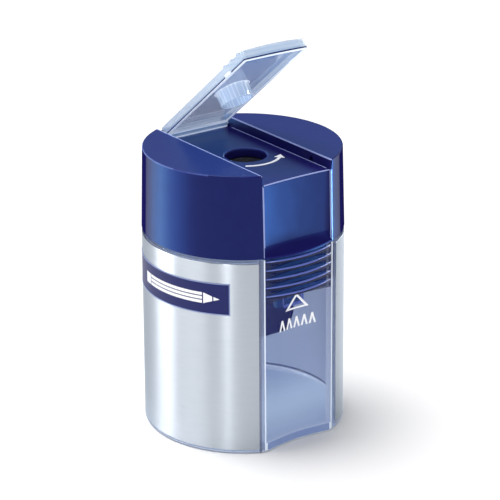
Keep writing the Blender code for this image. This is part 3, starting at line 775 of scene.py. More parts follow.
# One rib from its top down: height below the rib's top, and the share that it stands out.
rib_drop = np.array([-0.14, -0.04, -0.01, 0.03, 0.10, 0.20, 0.45, 0.58, 0.66, 0.71, 0.74, 0.84]) * MM
rib_share = np.array([0.0, 0.06, 0.80, 0.95, 0.99, 1.0, 1.0, 0.99, 0.95, 0.80, 0.06, 0.0])
heights = [WINDOW_SILL + 0.07 * MM, WINDOW_SILL + 0.3 * MM, *np.linspace(6 * MM, 29.5 * MM, 12)]
for edge, side in ((CATCH_LOW, 1), (CATCH_HIGH, -1)):
    heights += sorted([edge - 0.06 * MM, edge + 0.06 * MM, edge + side * 0.3 * MM])
shares = [0.0] * len(heights)
for index in reversed(range(RIB_COUNT)):
    heights += list((RIB_TOP - index * RIB_PITCH - rib_drop)[::-1])
    shares += list(rib_share[::-1])
heights.append(RIM_Z - 0.1 * MM)
shares.append(0.0)
heights, shares = np.array(heights), np.array(shares)
print("window levels:", len(heights))

# %% Make the window
side_round = 0.12 * MM
across = np.concatenate([
    [-WINDOW_PIECE_HALF, -WINDOW_PIECE_HALF + side_round],
    np.linspace(-8.0 * MM, -2.6 * MM, 22),
    np.array([-2.51, -2.39]) * MM,
    np.linspace(-2.2 * MM, 2.2 * MM, 17),
    np.array([2.39, 2.51]) * MM,
    np.linspace(2.6 * MM, 8.0 * MM, 22),
    [WINDOW_PIECE_HALF - side_round, WINDOW_PIECE_HALF],
])


def plate_y(x, z):
    """Y of the dished plate: its edge on the circle, less a dip of hollow * (1 - (x / half)^2)^2."""
    edge_y = -np.sqrt(body_radius(z) ** 2 - WINDOW_HALF ** 2)
    return edge_y + WINDOW_HOLLOW * (1 - (x / WINDOW_HALF) ** 2) ** 2


X, Z = np.meshgrid(across, heights)
share = shares[:, None] * np.ones_like(X)
plate = plate_y(X, Z)
circle_y = -np.sqrt((body_radius(Z) - 0.1 * MM) ** 2 - X ** 2)
edge_fade = np.clip((WINDOW_PIECE_HALF - np.abs(X)) / (0.5 * MM), 0, 1)
outer_y = plate + share * edge_fade * (circle_y - plate)
raised = (np.abs(X) < CATCH_HALF) & (Z > CATCH_LOW) & (Z < CATCH_HIGH)
inner_y = plate + PLATE_THICK + CATCH_OUT * raised
corner_pull = side_round * (np.abs(X) > WINDOW_PIECE_HALF - 0.5 * side_round)
outer = np.stack([X, outer_y + corner_pull, Z], -1)
inner = np.stack([X, inner_y - corner_pull, Z], -1)[:, ::-1]
window = stack("front_window", np.concatenate([outer, inner], axis=1))
soften(window, degrees=50)
window.data.materials.append(window_clear)

# %% [markdown]
# A real rib gathers light along its upper edge and looks dark below it, so here that edge gets a
# painted highlight, and the rest of the rib and the gap below it get painted shade. The catch is a
# block behind the plate, so only its outline shows, as a painted highlight. All come from other
# finishes on the faces concerned.

# %% Finish the ribs and the catch
RIB_LINE, RIB_DEEP = 0.3 * MM, 0.76 * MM   # the lit edge's height, and the whole rib's
CATCH_MIDDLE, CATCH_RISE = 0.5 * (CATCH_LOW + CATCH_HIGH), 0.5 * (CATCH_HIGH - CATCH_LOW)
centres = face_centres(window)
aside, y, z = np.abs(centres[:, 0]), centres[:, 1], centres[:, 2]
below_rib_top = (RIB_TOP - z) % RIB_PITCH
face_y = -np.sqrt(body_radius(z) ** 2 - WINDOW_HALF ** 2)
in_ribs = z > RIB_TOP - RIB_COUNT * RIB_PITCH + 0.5 * MM
proud = (y < face_y - 0.02 * MM) & in_ribs
trim(window, rib_gap_shade, in_ribs & (y < face_y + WINDOW_HOLLOW + 0.05 * MM) & ~proud)
trim(window, rib_and_catch_highlight, proud & (below_rib_top < RIB_LINE))
trim(window, rib_core_shade, proud & (below_rib_top >= RIB_LINE) & (below_rib_top < RIB_DEEP))
# The catch's outline gets a painted highlight.
from_middle = np.abs(z - CATCH_MIDDLE)
on_catch = (aside < CATCH_HALF + 0.1 * MM) & (from_middle < CATCH_RISE + 0.1 * MM)
at_border = (aside > CATCH_HALF - 0.26 * MM) | (from_middle > CATCH_RISE - 0.3 * MM)
trim(window, rib_and_catch_highlight, on_catch & at_border & (y > face_y + 1.2 * MM))

# %% [markdown]
# The upper part of the window is the press zone, which bends in when pressed. Here the plate's
# placement is only baked into its mesh.

# %% Bake the window's placement
def bend_with_pad(piece):
    """Bakes the placement of a piece on the window into its mesh."""
    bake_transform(piece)


bend_with_pad(window)
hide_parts("press_pad")
print("front_window:", len(window.data.polygons), "faces")

# %% [markdown]
# ## The foil sleeve
#
# The sleeve is a thin strip wrapped round the tub from one post to the other. Its cross-section is
# a narrow rectangle with rounded corners, carried round the arc. Each point of that section has a
# place between the inner and outer skin and a height, and the arc turns it about the axis.

# %% Make the sleeve
def wrapped(name, section, start, end, steps):
    """Carries a section of (depth below the outer skin, height) round the body's axis.

    x = (R(z) - depth) sin a, y = -(R(z) - depth) cos a, for angles a from the front.
    """
    angle = np.linspace(start, end, steps)[:, None]
    depth, height = section[:, 0][None, :], section[:, 1][None, :]
    reach = body_radius(height) - depth
    z = height + 0 * angle
    return stack(name, np.stack([reach * np.sin(angle), -reach * np.cos(angle), z], -1))


def strip_section(low, high, thick, levels=12):
    """A rounded narrow rectangle between two heights, as (depth, height) points."""
    r = 0.4 * thick
    outside = [(0.0, z) for z in np.linspace(low + r, high - r, levels)]
    inside = [(thick, z) for z in np.linspace(high - r, low + r, levels)]
    top = [(0.3 * r, high - 0.3 * r), (r, high), (thick - r, high)]
    foot = [(thick - r, low), (r, low), (0.3 * r, low + 0.3 * r)]
    return np.array(outside + top + inside + foot)


sleeve = wrapped(
    "silver_sleeve", strip_section(SLEEVE_BOTTOM, SLEEVE_TOP, SLEEVE_THICK),
    EDGE_RIGHT, 2 * math.pi - EDGE_LEFT, 260)
soften(sleeve, degrees=40)
dress(sleeve, foil, "tub_body")
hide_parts("foil_sleeve")

# %% [markdown]
# ## The blue head
#
# The head is made as three closed solids that are then joined: a lower drum whose front is sliced
# flat, and two raised lobes that stand on it and leave the channel between them. Each lobe is a
# circle sliced at the channel's wall, with its top edge rounded by insetting the outline level by
# level. A light catches exactly on those rounded edges, so their radius matters.

# %% Outlines of the head
LOBE_EDGE = 0.28 * MM                      # rounding of a lobe's top edge
LOBE_CORNER = 0.35 * MM                    # rounding of its two upright corners
EDGE_LINE = 0.18 * MM                      # flat border beside a rounded edge
FLAT_Y = -18.4 * MM
STEP_HALF = 8.35 * MM
LOBE_ARC = 120


def head_radius(z):
    """Outer radius of the head, which narrows evenly towards its top."""
    rise = HEAD_TOP - HEAD_BOTTOM
    return HEAD_RADIUS + (HEAD_TOP_RADIUS - HEAD_RADIUS) * (z - HEAD_BOTTOM) / rise


def lobe_outline(radius, wall_x, corner, side):
    """A circle sliced at x = wall_x with rounded corners; side is 1 for +X and -1 for -X."""
    centre_x = wall_x + corner
    centre_y = math.sqrt((radius - corner) ** 2 - centre_x ** 2)
    tip = math.atan2(centre_y, centre_x)
    sweep = np.linspace(-tip, tip, LOBE_ARC)
    long_arc = np.column_stack([radius * np.cos(sweep), radius * np.sin(sweep)])
    turn = np.linspace(tip, math.pi, 8)[1:]
    far = np.column_stack([centre_x + corner * np.cos(turn), centre_y + corner * np.sin(turn)])
    wall = np.column_stack([np.full(20, wall_x), np.linspace(centre_y, -centre_y, 22)[1:-1]])
    near = far[::-1] * [1, -1]
    outline = np.concatenate([long_arc, far, wall, near[:-1]])
    return outline if side > 0 else (outline * [-1, 1])[::-1]


def lobe(side):
    """One raised lobe from below the channel's floor to the head's top."""
    slope = (CHANNEL_TOP_HALF - CHANNEL_FOOT_HALF) / (HEAD_TOP - CHANNEL_FLOOR)
    levels = []
    foot = HEAD_BOTTOM + 0.3 * MM
    for z in (foot, CHANNEL_FLOOR, HEAD_TOP - LOBE_EDGE):
        wall = CHANNEL_FOOT_HALF + slope * max(z - CHANNEL_FLOOR, 0.0)
        levels.append(at_height(lobe_outline(head_radius(z), wall, LOBE_CORNER, side), z))
    for a in np.linspace(0, 0.5 * math.pi, 7)[1:]:
        inset = LOBE_EDGE * (1 - math.cos(a))
        z = HEAD_TOP - LOBE_EDGE + LOBE_EDGE * math.sin(a)
        outline = lobe_outline(
            head_radius(z) - inset, CHANNEL_TOP_HALF + inset, LOBE_CORNER - 0.7 * inset, side)
        levels.append(at_height(outline, z))
    inset = LOBE_EDGE + EDGE_LINE
    levels.append(at_height(lobe_outline(
        HEAD_TOP_RADIUS - inset, CHANNEL_TOP_HALF + inset, 0.03 * MM, side), HEAD_TOP))
    return stack(f"lobe_{'right' if side > 0 else 'left'}", levels)


# %% [markdown]
# The drum below the lobes has a flat front, set back from the circle. Just above the rim the flat
# sweeps out again to the full circle, in a curve like a quarter of an ellipse. Along the channel's
# front edge the flat is rounded over. Both are the same idea: for every level, a share says how far
# the front lies between the flat and the circle, and an inset rounds the top.

# %% Make the head's drum
FLARE_TOP = HEAD_BOTTOM + 2.4 * MM
FLARE_FOOT = HEAD_BOTTOM + 0.55 * MM
FRONT_POINTS = 60
DRUM_ARC = 240
BACK_STEP = 0.04 * MM                      # the drum stands this far inside the lobes
FRONT_DISH = 0.35 * MM                     # how far the flat dishes in at its middle
FRONT_LEAN = 0.25 * MM                     # how far the flat's foot stands out from its top
FRONT_ROUND = 0.3 * MM                     # rounding along the channel's front edge


def drum_level(z, share, inset=0.0, grow=0.0):
    """A level of the drum. share is 0 on the flat and 1 on the full circle.

    Front: y = flat + share * (circle - flat) for |x| inside the step, with the flat dished by
    FRONT_DISH * (1 - (x / half)^2).
    """
    radius = head_radius(z) - grow - BACK_STEP
    tip = math.asin(STEP_HALF / radius)
    x = np.linspace(-STEP_HALF, STEP_HALF, FRONT_POINTS)
    flat = FLAT_Y - FRONT_LEAN * (CHANNEL_FLOOR - z) / (CHANNEL_FLOOR - HEAD_BOTTOM)
    flat = flat + FRONT_DISH * (1 - (x / STEP_HALF) ** 2) + inset
    front = np.column_stack([x, flat + share * (-np.sqrt(radius ** 2 - x ** 2) - flat)])
    sweep = np.linspace(tip, 2 * math.pi - tip, DRUM_ARC)
    rest = np.column_stack([radius * np.sin(sweep), -radius * np.cos(sweep)])
    return at_height(np.concatenate([front, rest]), z)


drum_levels = [
    drum_level(HEAD_BOTTOM, 1.0, grow=0.12 * MM),
    drum_level(HEAD_BOTTOM + 0.04 * MM, 1.0, grow=0.04 * MM),
    drum_level(HEAD_BOTTOM + 0.12 * MM, 1.0),
    drum_level(FLARE_FOOT - 0.1 * MM, 1.0),
]
for a in np.linspace(0.12, 0.5 * math.pi, 14):
    z = FLARE_FOOT + (FLARE_TOP - FLARE_FOOT) * (1 - math.cos(a))
    drum_levels.append(drum_level(z, 1 - math.sin(a)))
for z in np.linspace(FLARE_TOP + 1.5 * MM, CHANNEL_FLOOR - FRONT_ROUND, 6):
    drum_levels.append(drum_level(z, 0.0))
for a in np.linspace(0, 0.5 * math.pi, 6)[1:]:
    z = CHANNEL_FLOOR - FRONT_ROUND * (1 - math.sin(a))
    drum_levels.append(drum_level(z, 0.0, FRONT_ROUND * (1 - math.cos(a))))
head = stack("head_body", drum_levels)

# %% [markdown]
# The inside is hollow, with a skirt that plugs into the tub. The skirt is a sliced circle too, set
# further in, and its flat front lies behind the press zone with a snap tongue at its middle.
# Joining, hollowing and drilling are Booleans in the order a toolmaker would think of them.

# %% Shapes to join and to cut with
SKIRT_RADIUS = 19.0 * MM
SKIRT_WALL = 1.3 * MM
SKIRT_FLAT = -16.4 * MM
PLUG_CORNER = 0.6 * MM


def plug(name, radius, front_y, low, high, foot_round=0.0):
    """A sliced circle between two heights, its lower edge rounded by foot_round."""
    levels = []
    if foot_round:
        for a in np.linspace(0, 0.5 * math.pi, 5)[:-1]:
            inset = foot_round * (1 - math.sin(a))
            outline = sliced_circle(radius - inset, front_y + inset, PLUG_CORNER, seams=False)
            levels.append(at_height(outline, low + foot_round * (1 - math.cos(a))))
    outline = sliced_circle(radius, front_y, PLUG_CORNER, seams=False)
    levels += [at_height(outline, z) for z in (low + foot_round, high)]
    return stack(name, levels)


def post_z(name, profile, y, points=96):
    """A turned shape about an upright line at y, from (radius, height) pairs."""
    turn = np.linspace(0, 2 * math.pi, points, endpoint=False)
    levels = [
        np.column_stack([r * np.cos(turn), y + r * np.sin(turn), np.full(points, z)])
        for r, z in profile
    ]
    return stack(name, levels)


def bar_x(name, radius, low, high, y, z, points=48):
    """A round bar along X between two ends."""
    turn = np.linspace(0, 2 * math.pi, points, endpoint=False)
    levels = [
        np.column_stack([np.full(points, x), y + radius * np.cos(turn), z + radius * np.sin(turn)])
        for x in (low, high)
    ]
    return stack(name, levels)


# %% Join and hollow the head
for side in (1, -1):
    carve(head, lobe(side), "UNION")
carve(head, plug(
    "skirt", SKIRT_RADIUS, SKIRT_FLAT, SKIRT_BOTTOM, HEAD_BOTTOM + 2 * MM, 0.2 * MM), "UNION")
inner_flat = SKIRT_FLAT + SKIRT_WALL
carve(head, plug(
    "hollow", SKIRT_RADIUS - SKIRT_WALL, inner_flat, SKIRT_BOTTOM - 1 * MM,
    CHANNEL_FLOOR - 1.75 * MM))
TONGUE_HALF, TONGUE_LOW = 3.4 * MM, 29.8 * MM
carve(head, brick(
    "tongue", (-TONGUE_HALF, SKIRT_FLAT + 0.02 * MM, TONGUE_LOW),
    (TONGUE_HALF, inner_flat - 0.02 * MM, SKIRT_BOTTOM + 1 * MM)), "UNION")

# %% Drill the head
# The hole has a small countersink, whose lip catches the light.
LIP_DEEP, LIP_WIDE = 0.4 * MM, 0.5 * MM
hole_profile = [
    (HOLE_RADIUS, 50 * MM),
    (HOLE_RADIUS, CHANNEL_FLOOR - LIP_DEEP),
    (HOLE_RADIUS + 0.08 * MM, CHANNEL_FLOOR - 0.6 * LIP_DEEP),
    (HOLE_RADIUS + 0.22 * MM, CHANNEL_FLOOR - 0.25 * LIP_DEEP),
    (HOLE_RADIUS + LIP_WIDE, CHANNEL_FLOOR + 0.02 * MM),
    (HOLE_RADIUS + LIP_WIDE, HEAD_TOP + 2 * MM),
]
TROUGH_HALF, SOCKET_HALF = 8.2 * MM, 9.0 * MM          # reach to each side
TROUGH_RADIUS, SOCKET_RADIUS, DETENT_RADIUS = 1.55 * MM, 0.8 * MM, 0.55 * MM
DETENT_Y, DETENT_Z = -12.3 * MM, 58.4 * MM
carve(head, post_z("hole", hole_profile, HOLE_Y, 120))
carve(head, bar_x("trough", TROUGH_RADIUS, -TROUGH_HALF, TROUGH_HALF, HINGE.y, HINGE.z, 64))
carve(head, bar_x("sockets", SOCKET_RADIUS, -SOCKET_HALF, SOCKET_HALF, HINGE.y, HINGE.z))
carve(head, bar_x("detents", DETENT_RADIUS, -SOCKET_HALF, SOCKET_HALF, DETENT_Y, DETENT_Z, 24))
soften(head, degrees=28)
dress(head, head_blue, "head_body")

# %% [markdown]
# A polished rounded edge mirrors a soft box as a thin pale line, wherever you stand. Lamps alone
# would draw it unevenly, so the rounded edges get painted highlights in paler finishes: palest along
# the channel, softer round the outside and the hole. The flare under the flat front and the skirt
# inside are duller.

# %% Finish the head's edges, flare and skirt
centres = face_centres(head)
side_x, near_y, height = np.abs(centres[:, 0]), centres[:, 1], centres[:, 2]
top_edge = (height > HEAD_TOP - 0.9 * LOBE_EDGE) & (height < HEAD_TOP - 0.03 * MM)
trim(head, edge_highlight_blue, top_edge & (side_x < CHANNEL_TOP_HALF + LOBE_EDGE))

# Round the outside the painted highlight is strongest at the sides, and fades towards the front.
LINE_START, LINE_FULL, LINE_END = 55, 78, 135          # degrees from the front, on both sides
outer_edge = top_edge & (np.hypot(side_x, near_y) > HEAD_TOP_RADIUS - LOBE_EDGE)
round_turn = np.degrees(np.arctan2(side_x, -near_y))
trim(head, line_highlight_blue, outer_edge & (round_turn > LINE_FULL) & (round_turn < LINE_END))
trim(head, rim_highlight_blue, outer_edge & (round_turn > LINE_START) & (round_turn <= LINE_FULL))

# A painted highlight also lies on the flat border beside the channel, on the left lobe only.
border = (height > HEAD_TOP - 0.005 * MM) & (centres[:, 0] < 0)
trim(head, edge_highlight_blue, border & (side_x < CHANNEL_TOP_HALF + LOBE_EDGE + EDGE_LINE))
# Painted highlights on the lobes' upright front corners.
post = (side_x < 8.62 * MM) & (side_x > 8.12 * MM) & (near_y < -18.75 * MM)
trim(head, edge_highlight_blue, post & (height > FLARE_TOP) & (height < HEAD_TOP - LOBE_EDGE))
below_floor = height < CHANNEL_FLOOR - 0.01 * MM
# A softer painted highlight on the hole's lip.
from_lip = np.hypot(centres[:, 0], near_y - HOLE_Y) - HOLE_RADIUS
hole_lip = (from_lip > 0.24 * MM) & (from_lip < 0.49 * MM) & (height > CHANNEL_FLOOR - LIP_DEEP)
trim(head, rim_highlight_blue, hole_lip & below_floor)
trim(head, skirt_blue, height < HEAD_BOTTOM - 0.01 * MM)
flare = (height > HEAD_BOTTOM + 0.1 * MM) & (height < FLARE_TOP - 0.1 * MM)
trim(head, soft_blue, flare & (side_x < STEP_HALF - 0.02 * MM) & (near_y < -17 * MM))
# A painted highlight on the rounded front edge of the channel's floor.
ledge = (near_y < -17.5 * MM) & (side_x < 8.2 * MM) & (height > CHANNEL_FLOOR - 0.2 * MM)
trim(head, edge_highlight_blue, ledge & below_floor)
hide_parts("head_shell")

# %% [markdown]
# ## The clear lid
#
# The lid is a shallow tray turned upside down, so like the tub it is one skin folded back on
# itself. Its outline is a long rectangle with a bowed nose. The bow is deeper at the top than at
# the lower edge, so the nose leans in a little. It is modelled lying closed, where the numbers are
# simple, and then swung open about the hinge.

# %% Outlines of the lid
LID_HALF = 7.74 * MM
LID_TOP = 60.3 * MM
LID_DEPTH = 2.15 * MM
LID_PLATE = 1.0 * MM
LID_SKIRT = 0.75 * MM
LID_FRONT = -19.75 * MM
LID_BACK = HINGE.y
LID_CORNER, INNER_CORNER = 0.4 * MM, 0.2 * MM
INNER_BACK = LID_BACK - 2.4 * MM           # where the tray's hollow ends, short of the hinge
LID_EDGE = 0.22 * MM                       # rounding of the top edge
BOW_LOW, BOW_HIGH = 0.15 * MM, 1.0 * MM    # the nose's bow at the lower edge and at the top


def lid_outline(half, front, back_y, bow, corner):
    """Rectangle with rounded corners and a bowed front, anticlockwise from the front left."""
    x = np.linspace(-half + corner, half - corner, 30)
    nose = np.column_stack([x, front - bow * (1 - (x / half) ** 2)])
    turn = np.linspace(-0.5 * math.pi, 0, 7)[1:]
    lift = bow * (1 - ((half - corner) / half) ** 2)
    front_right = np.column_stack([
        half - corner + corner * np.cos(turn),
        front + corner + corner * np.sin(turn) + lift * np.sin(turn)])
    y = np.linspace(front + corner, back_y - corner, 42)[1:]
    side = np.column_stack([np.full(len(y), half), y])
    back_right = np.column_stack([
        half - corner + corner * np.cos(turn + 0.5 * math.pi),
        back_y - corner + corner * np.sin(turn + 0.5 * math.pi)])
    right_half = np.concatenate([front_right, side, back_right])
    rear_x = np.linspace(half - corner, -half + corner, 12)[1:-1]
    rear = np.column_stack([rear_x, np.full(len(rear_x), back_y)])
    left_half = right_half[::-1] * [-1, 1]
    return np.concatenate([nose, right_half, rear, left_half])


def lid_level(z, inset, inner=False):
    """A level of the lid's skin at a height, taken in by inset."""
    bow = np.interp(z, [LID_TOP - LID_DEPTH, LID_TOP], [BOW_LOW, BOW_HIGH])
    rear = INNER_BACK if inner else LID_BACK - inset
    corner = INNER_CORNER if inner else max(LID_CORNER - inset, 0.1 * MM)
    return at_height(
        lid_outline(LID_HALF - inset, LID_FRONT + inset, rear, bow, corner), z)


# %% Make the lid
lid_foot = LID_TOP - LID_DEPTH
under = LID_TOP - LID_PLATE
lid_levels = [
    lid_level(under, LID_SKIRT + 0.15 * MM, True),
    lid_level(under - 0.05 * MM, LID_SKIRT + 0.05 * MM, True),
    lid_level(under - 0.15 * MM, LID_SKIRT, True),
    lid_level(lid_foot + 0.12 * MM, LID_SKIRT, True),
    lid_level(lid_foot, LID_SKIRT - 0.1 * MM, True),
    lid_level(lid_foot, 0.12 * MM),
    lid_level(lid_foot + 0.04 * MM, 0.04 * MM),
    lid_level(lid_foot + 0.12 * MM, 0.0),
    lid_level(lid_foot + 0.42 * MM, 0.0),
    lid_level(LID_TOP - LID_EDGE, 0.0),
]
lid_levels += [
    lid_level(LID_TOP - LID_EDGE * (1 - math.sin(a)), LID_EDGE * (1 - math.cos(a)))
    for a in np.linspace(0, 0.5 * math.pi, 5)[1:]
]
lid = stack("clear_lid", lid_levels)

# %% Add what is moulded on the lid
CUP_RADIUS, CUP_WALL, CUP_LOW = 3.7 * MM, 0.7 * MM, 56.3 * MM
CUP_SIDES = 80
CLIP_Y, CLIP_LONG, CLIP_HIGH, CLIP_OUT = -13.0 * MM, 1.1 * MM, 0.62 * MM, 0.34 * MM
BARREL_RADIUS, PIN_RADIUS, PIN_HALF = 1.25 * MM, 0.55 * MM, 8.85 * MM
GRIP_RADIUS, GRIP_PLACES = 0.48 * MM, (-17.6 * MM, -14.8 * MM, -12.0 * MM)
carve(lid, bar_x("barrel", BARREL_RADIUS, -LID_HALF, LID_HALF, HINGE.y, HINGE.z, 56), "UNION")
carve(lid, bar_x("pins", PIN_RADIUS, -PIN_HALF, PIN_HALF, HINGE.y, HINGE.z, 32), "UNION")
cup_profile = [
    (CUP_RADIUS - 0.45 * MM, CUP_LOW),
    (CUP_RADIUS - 0.25 * MM, CUP_LOW + 0.06 * MM),
    (CUP_RADIUS - 0.18 * MM, CUP_LOW + 0.2 * MM),
    (CUP_RADIUS, under - 0.25 * MM),
    (CUP_RADIUS + 0.08 * MM, under - 0.08 * MM),
    (CUP_RADIUS + 0.25 * MM, under + 0.01 * MM),
    (CUP_RADIUS + 0.25 * MM, under + 0.3 * MM),
]
cup_inside = [
    (CUP_RADIUS - CUP_WALL, CUP_LOW - 1 * MM),
    (CUP_RADIUS - CUP_WALL, under - 0.3 * MM),
    (CUP_RADIUS - CUP_WALL - 0.3 * MM, under),
]
carve(lid, post_z("cup", cup_profile, HOLE_Y, CUP_SIDES), "UNION")
carve(lid, post_z("cup_hollow", cup_inside, HOLE_Y, CUP_SIDES))
for side in (1, -1):
    wall_x = side * LID_HALF
    inner_x, outer_x = sorted((wall_x - side * 0.5 * MM, wall_x + side * CLIP_OUT))
    carve(lid, brick(
        f"clip_{side}", (inner_x, CLIP_Y - CLIP_LONG, lid_foot + 0.02 * MM),
        (outer_x, CLIP_Y + CLIP_LONG, lid_foot + CLIP_HIGH)), "UNION")
grip_half = LID_HALF - 0.35 * MM
for grip_y in GRIP_PLACES:
    grip = bar_x("grip", GRIP_RADIUS, -grip_half, grip_half, grip_y, LID_TOP - 0.02 * MM, 32)
    carve(lid, grip, "UNION")
soften(lid, degrees=40)

# %% [markdown]
# Light runs inside a clear tray and comes out at its edges. So the thick plate is deep blue; the
# lower edge, the clips and a line along the barrel get painted highlights; a fine dark line of
# painted shade runs just above the lower edge; and the plug cup has painted reflections as pale
# upright streaks. The faces are picked while the lid still lies flat. Then it is swung open and the
# finishes go on, later ones over earlier ones.

# %% Pick the lid's faces
CUP_STEP = 360 / CUP_SIDES                 # degrees for each of the cup's sides
BARREL_LINE = -66                          # turn about the hinge, from level at the front
centres = face_centres(lid)
x, y, z = centres.T
aside = np.abs(x)
flat_face = np.abs(np.array([face.normal.z for face in lid.data.polygons])) > 0.9
lid_cup = (np.hypot(x, y - HOLE_Y) < CUP_RADIUS + 0.3 * MM) & (z < under + 0.02 * MM)
lid_plate = flat_face & (z > under - 0.1 * MM) & ~lid_cup
lid_top = flat_face & (z > LID_TOP - 0.05 * MM)

# The right wall's inner face, seen through the plate.
lid_far_wall = (np.abs(x - LID_HALF + LID_SKIRT) < 0.12 * MM) & (z < under)
lid_far_wall &= z > lid_foot + 0.1 * MM
# A fine line of painted shade just above the lower edge.
double_line = (np.abs(z - lid_foot - 0.27 * MM) < 0.14 * MM) & (
    (aside > LID_HALF - 0.4 * MM) | (y < LID_FRONT + 0.4 * MM))
# Painted highlights along the lower edge and on the clips.
lid_edge = (z < lid_foot + 0.13 * MM) & (z > lid_foot - 0.1 * MM)
clip_faces = (aside > LID_HALF + 0.02 * MM) & (y < 0)

# Three in eleven of the cup's sides get painted reflections as streaks, spread out by counting in
# sevens.
cup_side = (np.degrees(np.arctan2(y - HOLE_Y, x)) % 360 // CUP_STEP).astype(int)
cup_reflection_streaks = lid_cup & ~flat_face & (cup_side * 7 % 11 < 3)

# A line of painted highlight along the barrel.
barrel_turn = np.degrees(np.arctan2(z - HINGE.z, HINGE.y - y))
barrel_reach = np.hypot(z - HINGE.z, HINGE.y - y)
barrel_line = (np.abs(barrel_turn - BARREL_LINE) < 10) & (barrel_reach > 1.1 * MM)
barrel_line &= barrel_reach < 1.3 * MM

# %% Swing the lid open and finish it
swing = (
    Matrix.Translation(HINGE)
    @ Matrix.Rotation(-LID_OPEN, 4, "X")
    @ Matrix.Translation(-HINGE)
)
lid.data.transform(swing)
dress(lid, lid_clear, "lid_body")
lid_trims = [
    (plate_clear, lid_plate),
    (top_clear, lid_top),
    (cup_clear, lid_cup),
    (wall_clear, lid_far_wall),
    (line_clear, double_line),
    (cup_reflection_clear, cup_reflection_streaks),
    (bright_clear, lid_edge | clip_faces | barrel_line),
]
for finish, chosen in lid_trims:
    trim(lid, finish, chosen)
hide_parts("lid")

# %% [markdown]
# ## The parts inside
#
# The carrier, the block, the blade and its screw have the right shapes already. They only lack the
# small rounded edges that real mouldings and castings have. So each is copied, its loose triangles
# are merged back into flat faces, and its edges are rounded.

# %% Refine the inner parts
FLAT_WITHIN = math.radians(1.0)            # triangles closer than this lie in one flat face


def refined(cad_name, new_name, width, finish, body="head_body"):
    """A copy of a CAD node with its triangles merged into faces and its edges rounded."""
    mesh = frame["nodes"][cad_name].data.copy()
    work = bmesh.new()
    work.from_mesh(mesh)
    bmesh.ops.remove_doubles(work, verts=work.verts, dist=1e-6)
    bmesh.ops.dissolve_limit(
        work, angle_limit=FLAT_WITHIN, verts=work.verts, edges=work.edges)
    work.to_mesh(mesh)
    work.free()
    made = bpy.data.objects.new(new_name, mesh)
    bpy.context.scene.collection.objects.link(made)
    soften(made, width, degrees=30, segments=2)
    dress(made, finish, body)
    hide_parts(cad_name)
    return made


refined("sharpener_carrier", "carrier", 0.15 * MM, carrier_blue)
refined("sharpener_block", "wedge_block", 0.12 * MM, cast_magnesium)
refined("blade", "cutting_blade", 0.03 * MM, ground_steel)
refined("blade_screw", "slotted_screw", 0.06 * MM, plated_steel)

# %% [markdown]
# ## Printed marks
#
# Ink is a film a few hundredths of a millimetre thick. Each mark is built from small four-sided
# patches, given by their corners on the unrolled surface and filled with a grid, so that they can
# bend with the surface they lie on. A function places each grid point: on the sleeve the first
# coordinate is the way round from the front, on the window it is x, and on the channel's floor the
# two are plain x and y.
#
# The marks are generic: a band with a pencil on the sleeve, an outlined triangle with a row of
# chevrons where the thumb presses, and an arrow round the hole that shows which way to turn.

# %% Tools for print
INK = 0.04 * MM                            # thickness of the film


def patch(name, corners, place, columns=24, rows=10):
    """A film over a four-sided shape: corners (4, 2) anticlockwise, blended both ways.

    p(u, v) = (1-u)(1-v) A + u(1-v) B + uv C + (1-u)v D. place(u, v, lift) gives space points.
    """
    a, b, c, d = (np.array(corner, float) for corner in corners)
    u, v = np.meshgrid(np.linspace(0, 1, columns), np.linspace(0, 1, rows))
    u, v = u[..., None], v[..., None]
    flat = (1 - u) * (1 - v) * a + u * (1 - v) * b + u * v * c + (1 - u) * v * d
    return film(name, flat, place)


def film(name, flat, place):
    """A film over a grid of flat points (rows, columns, 2): two skins joined at their edges."""
    rows, columns = flat.shape[:2]
    low = place(flat[..., 0], flat[..., 1], 0.3 * INK).reshape(-1, 3)
    high = place(flat[..., 0], flat[..., 1], 1.3 * INK).reshape(-1, 3)
    count = rows * columns
    top = np.array(grid_quads(rows, columns, around=False))
    ring = np.concatenate([
        np.arange(columns),
        np.arange(1, rows) * columns + columns - 1,
        (rows - 1) * columns + np.arange(columns - 2, -1, -1),
        np.arange(rows - 2, 0, -1) * columns,
    ])
    after = np.roll(ring, -1)
    sides = np.stack([ring, after, after + count, ring + count], -1)
    faces = np.concatenate([top + count, top[:, ::-1], sides]).tolist()
    return put_mesh(name, np.concatenate([low, high]), faces)


def on_sleeve(way, z, lift):
    """Arc length from the front and height, placed on the sleeve."""
    angle = way / FOOT_RADIUS
    reach = body_radius(z) + lift
    return np.stack([reach * np.sin(angle), -reach * np.cos(angle), z], -1)


def on_window(x, z, lift):
    """X and height placed on the window's dished face."""
    return np.stack([x, plate_y(x, z) - lift, z], -1)


def on_channel(x, y, lift):
    """X and Y placed on the channel's floor."""
    return np.stack([x, y, CHANNEL_FLOOR + lift + 0 * x], -1)


def over(place, extra):
    """The same surface, lifted by a little more, for ink printed on ink."""
    return lambda u, v, lift: place(u, v, lift + extra)


# %% Tools for strokes
def merged(name, parts):
    """One piece from several films."""
    joined = bmesh.new()
    for part in parts:
        joined.from_mesh(part.data)
        bpy.data.objects.remove(part, do_unlink=True)
    mesh = bpy.data.meshes.new(name)
    joined.to_mesh(mesh)
    joined.free()
    made = bpy.data.objects.new(name, mesh)
    bpy.context.scene.collection.objects.link(made)
    made.data.shade_smooth()
    made.data.set_sharp_from_angle(angle=math.radians(40))
    return made


def rectangle(low, high):
    """Corners of an upright rectangle, from its lower left and upper right ones."""
    return [low, (high[0], low[1]), high, (low[0], high[1])]


def stroke(a, b, width):
    """Corners of a straight stroke from a to b."""
    a, b = np.array(a, float), np.array(b, float)
    along = (b - a) / np.linalg.norm(b - a)
    side = np.array([along[1], -along[0]]) * 0.5 * width
    return [a + side, b + side, b - side, a - side]


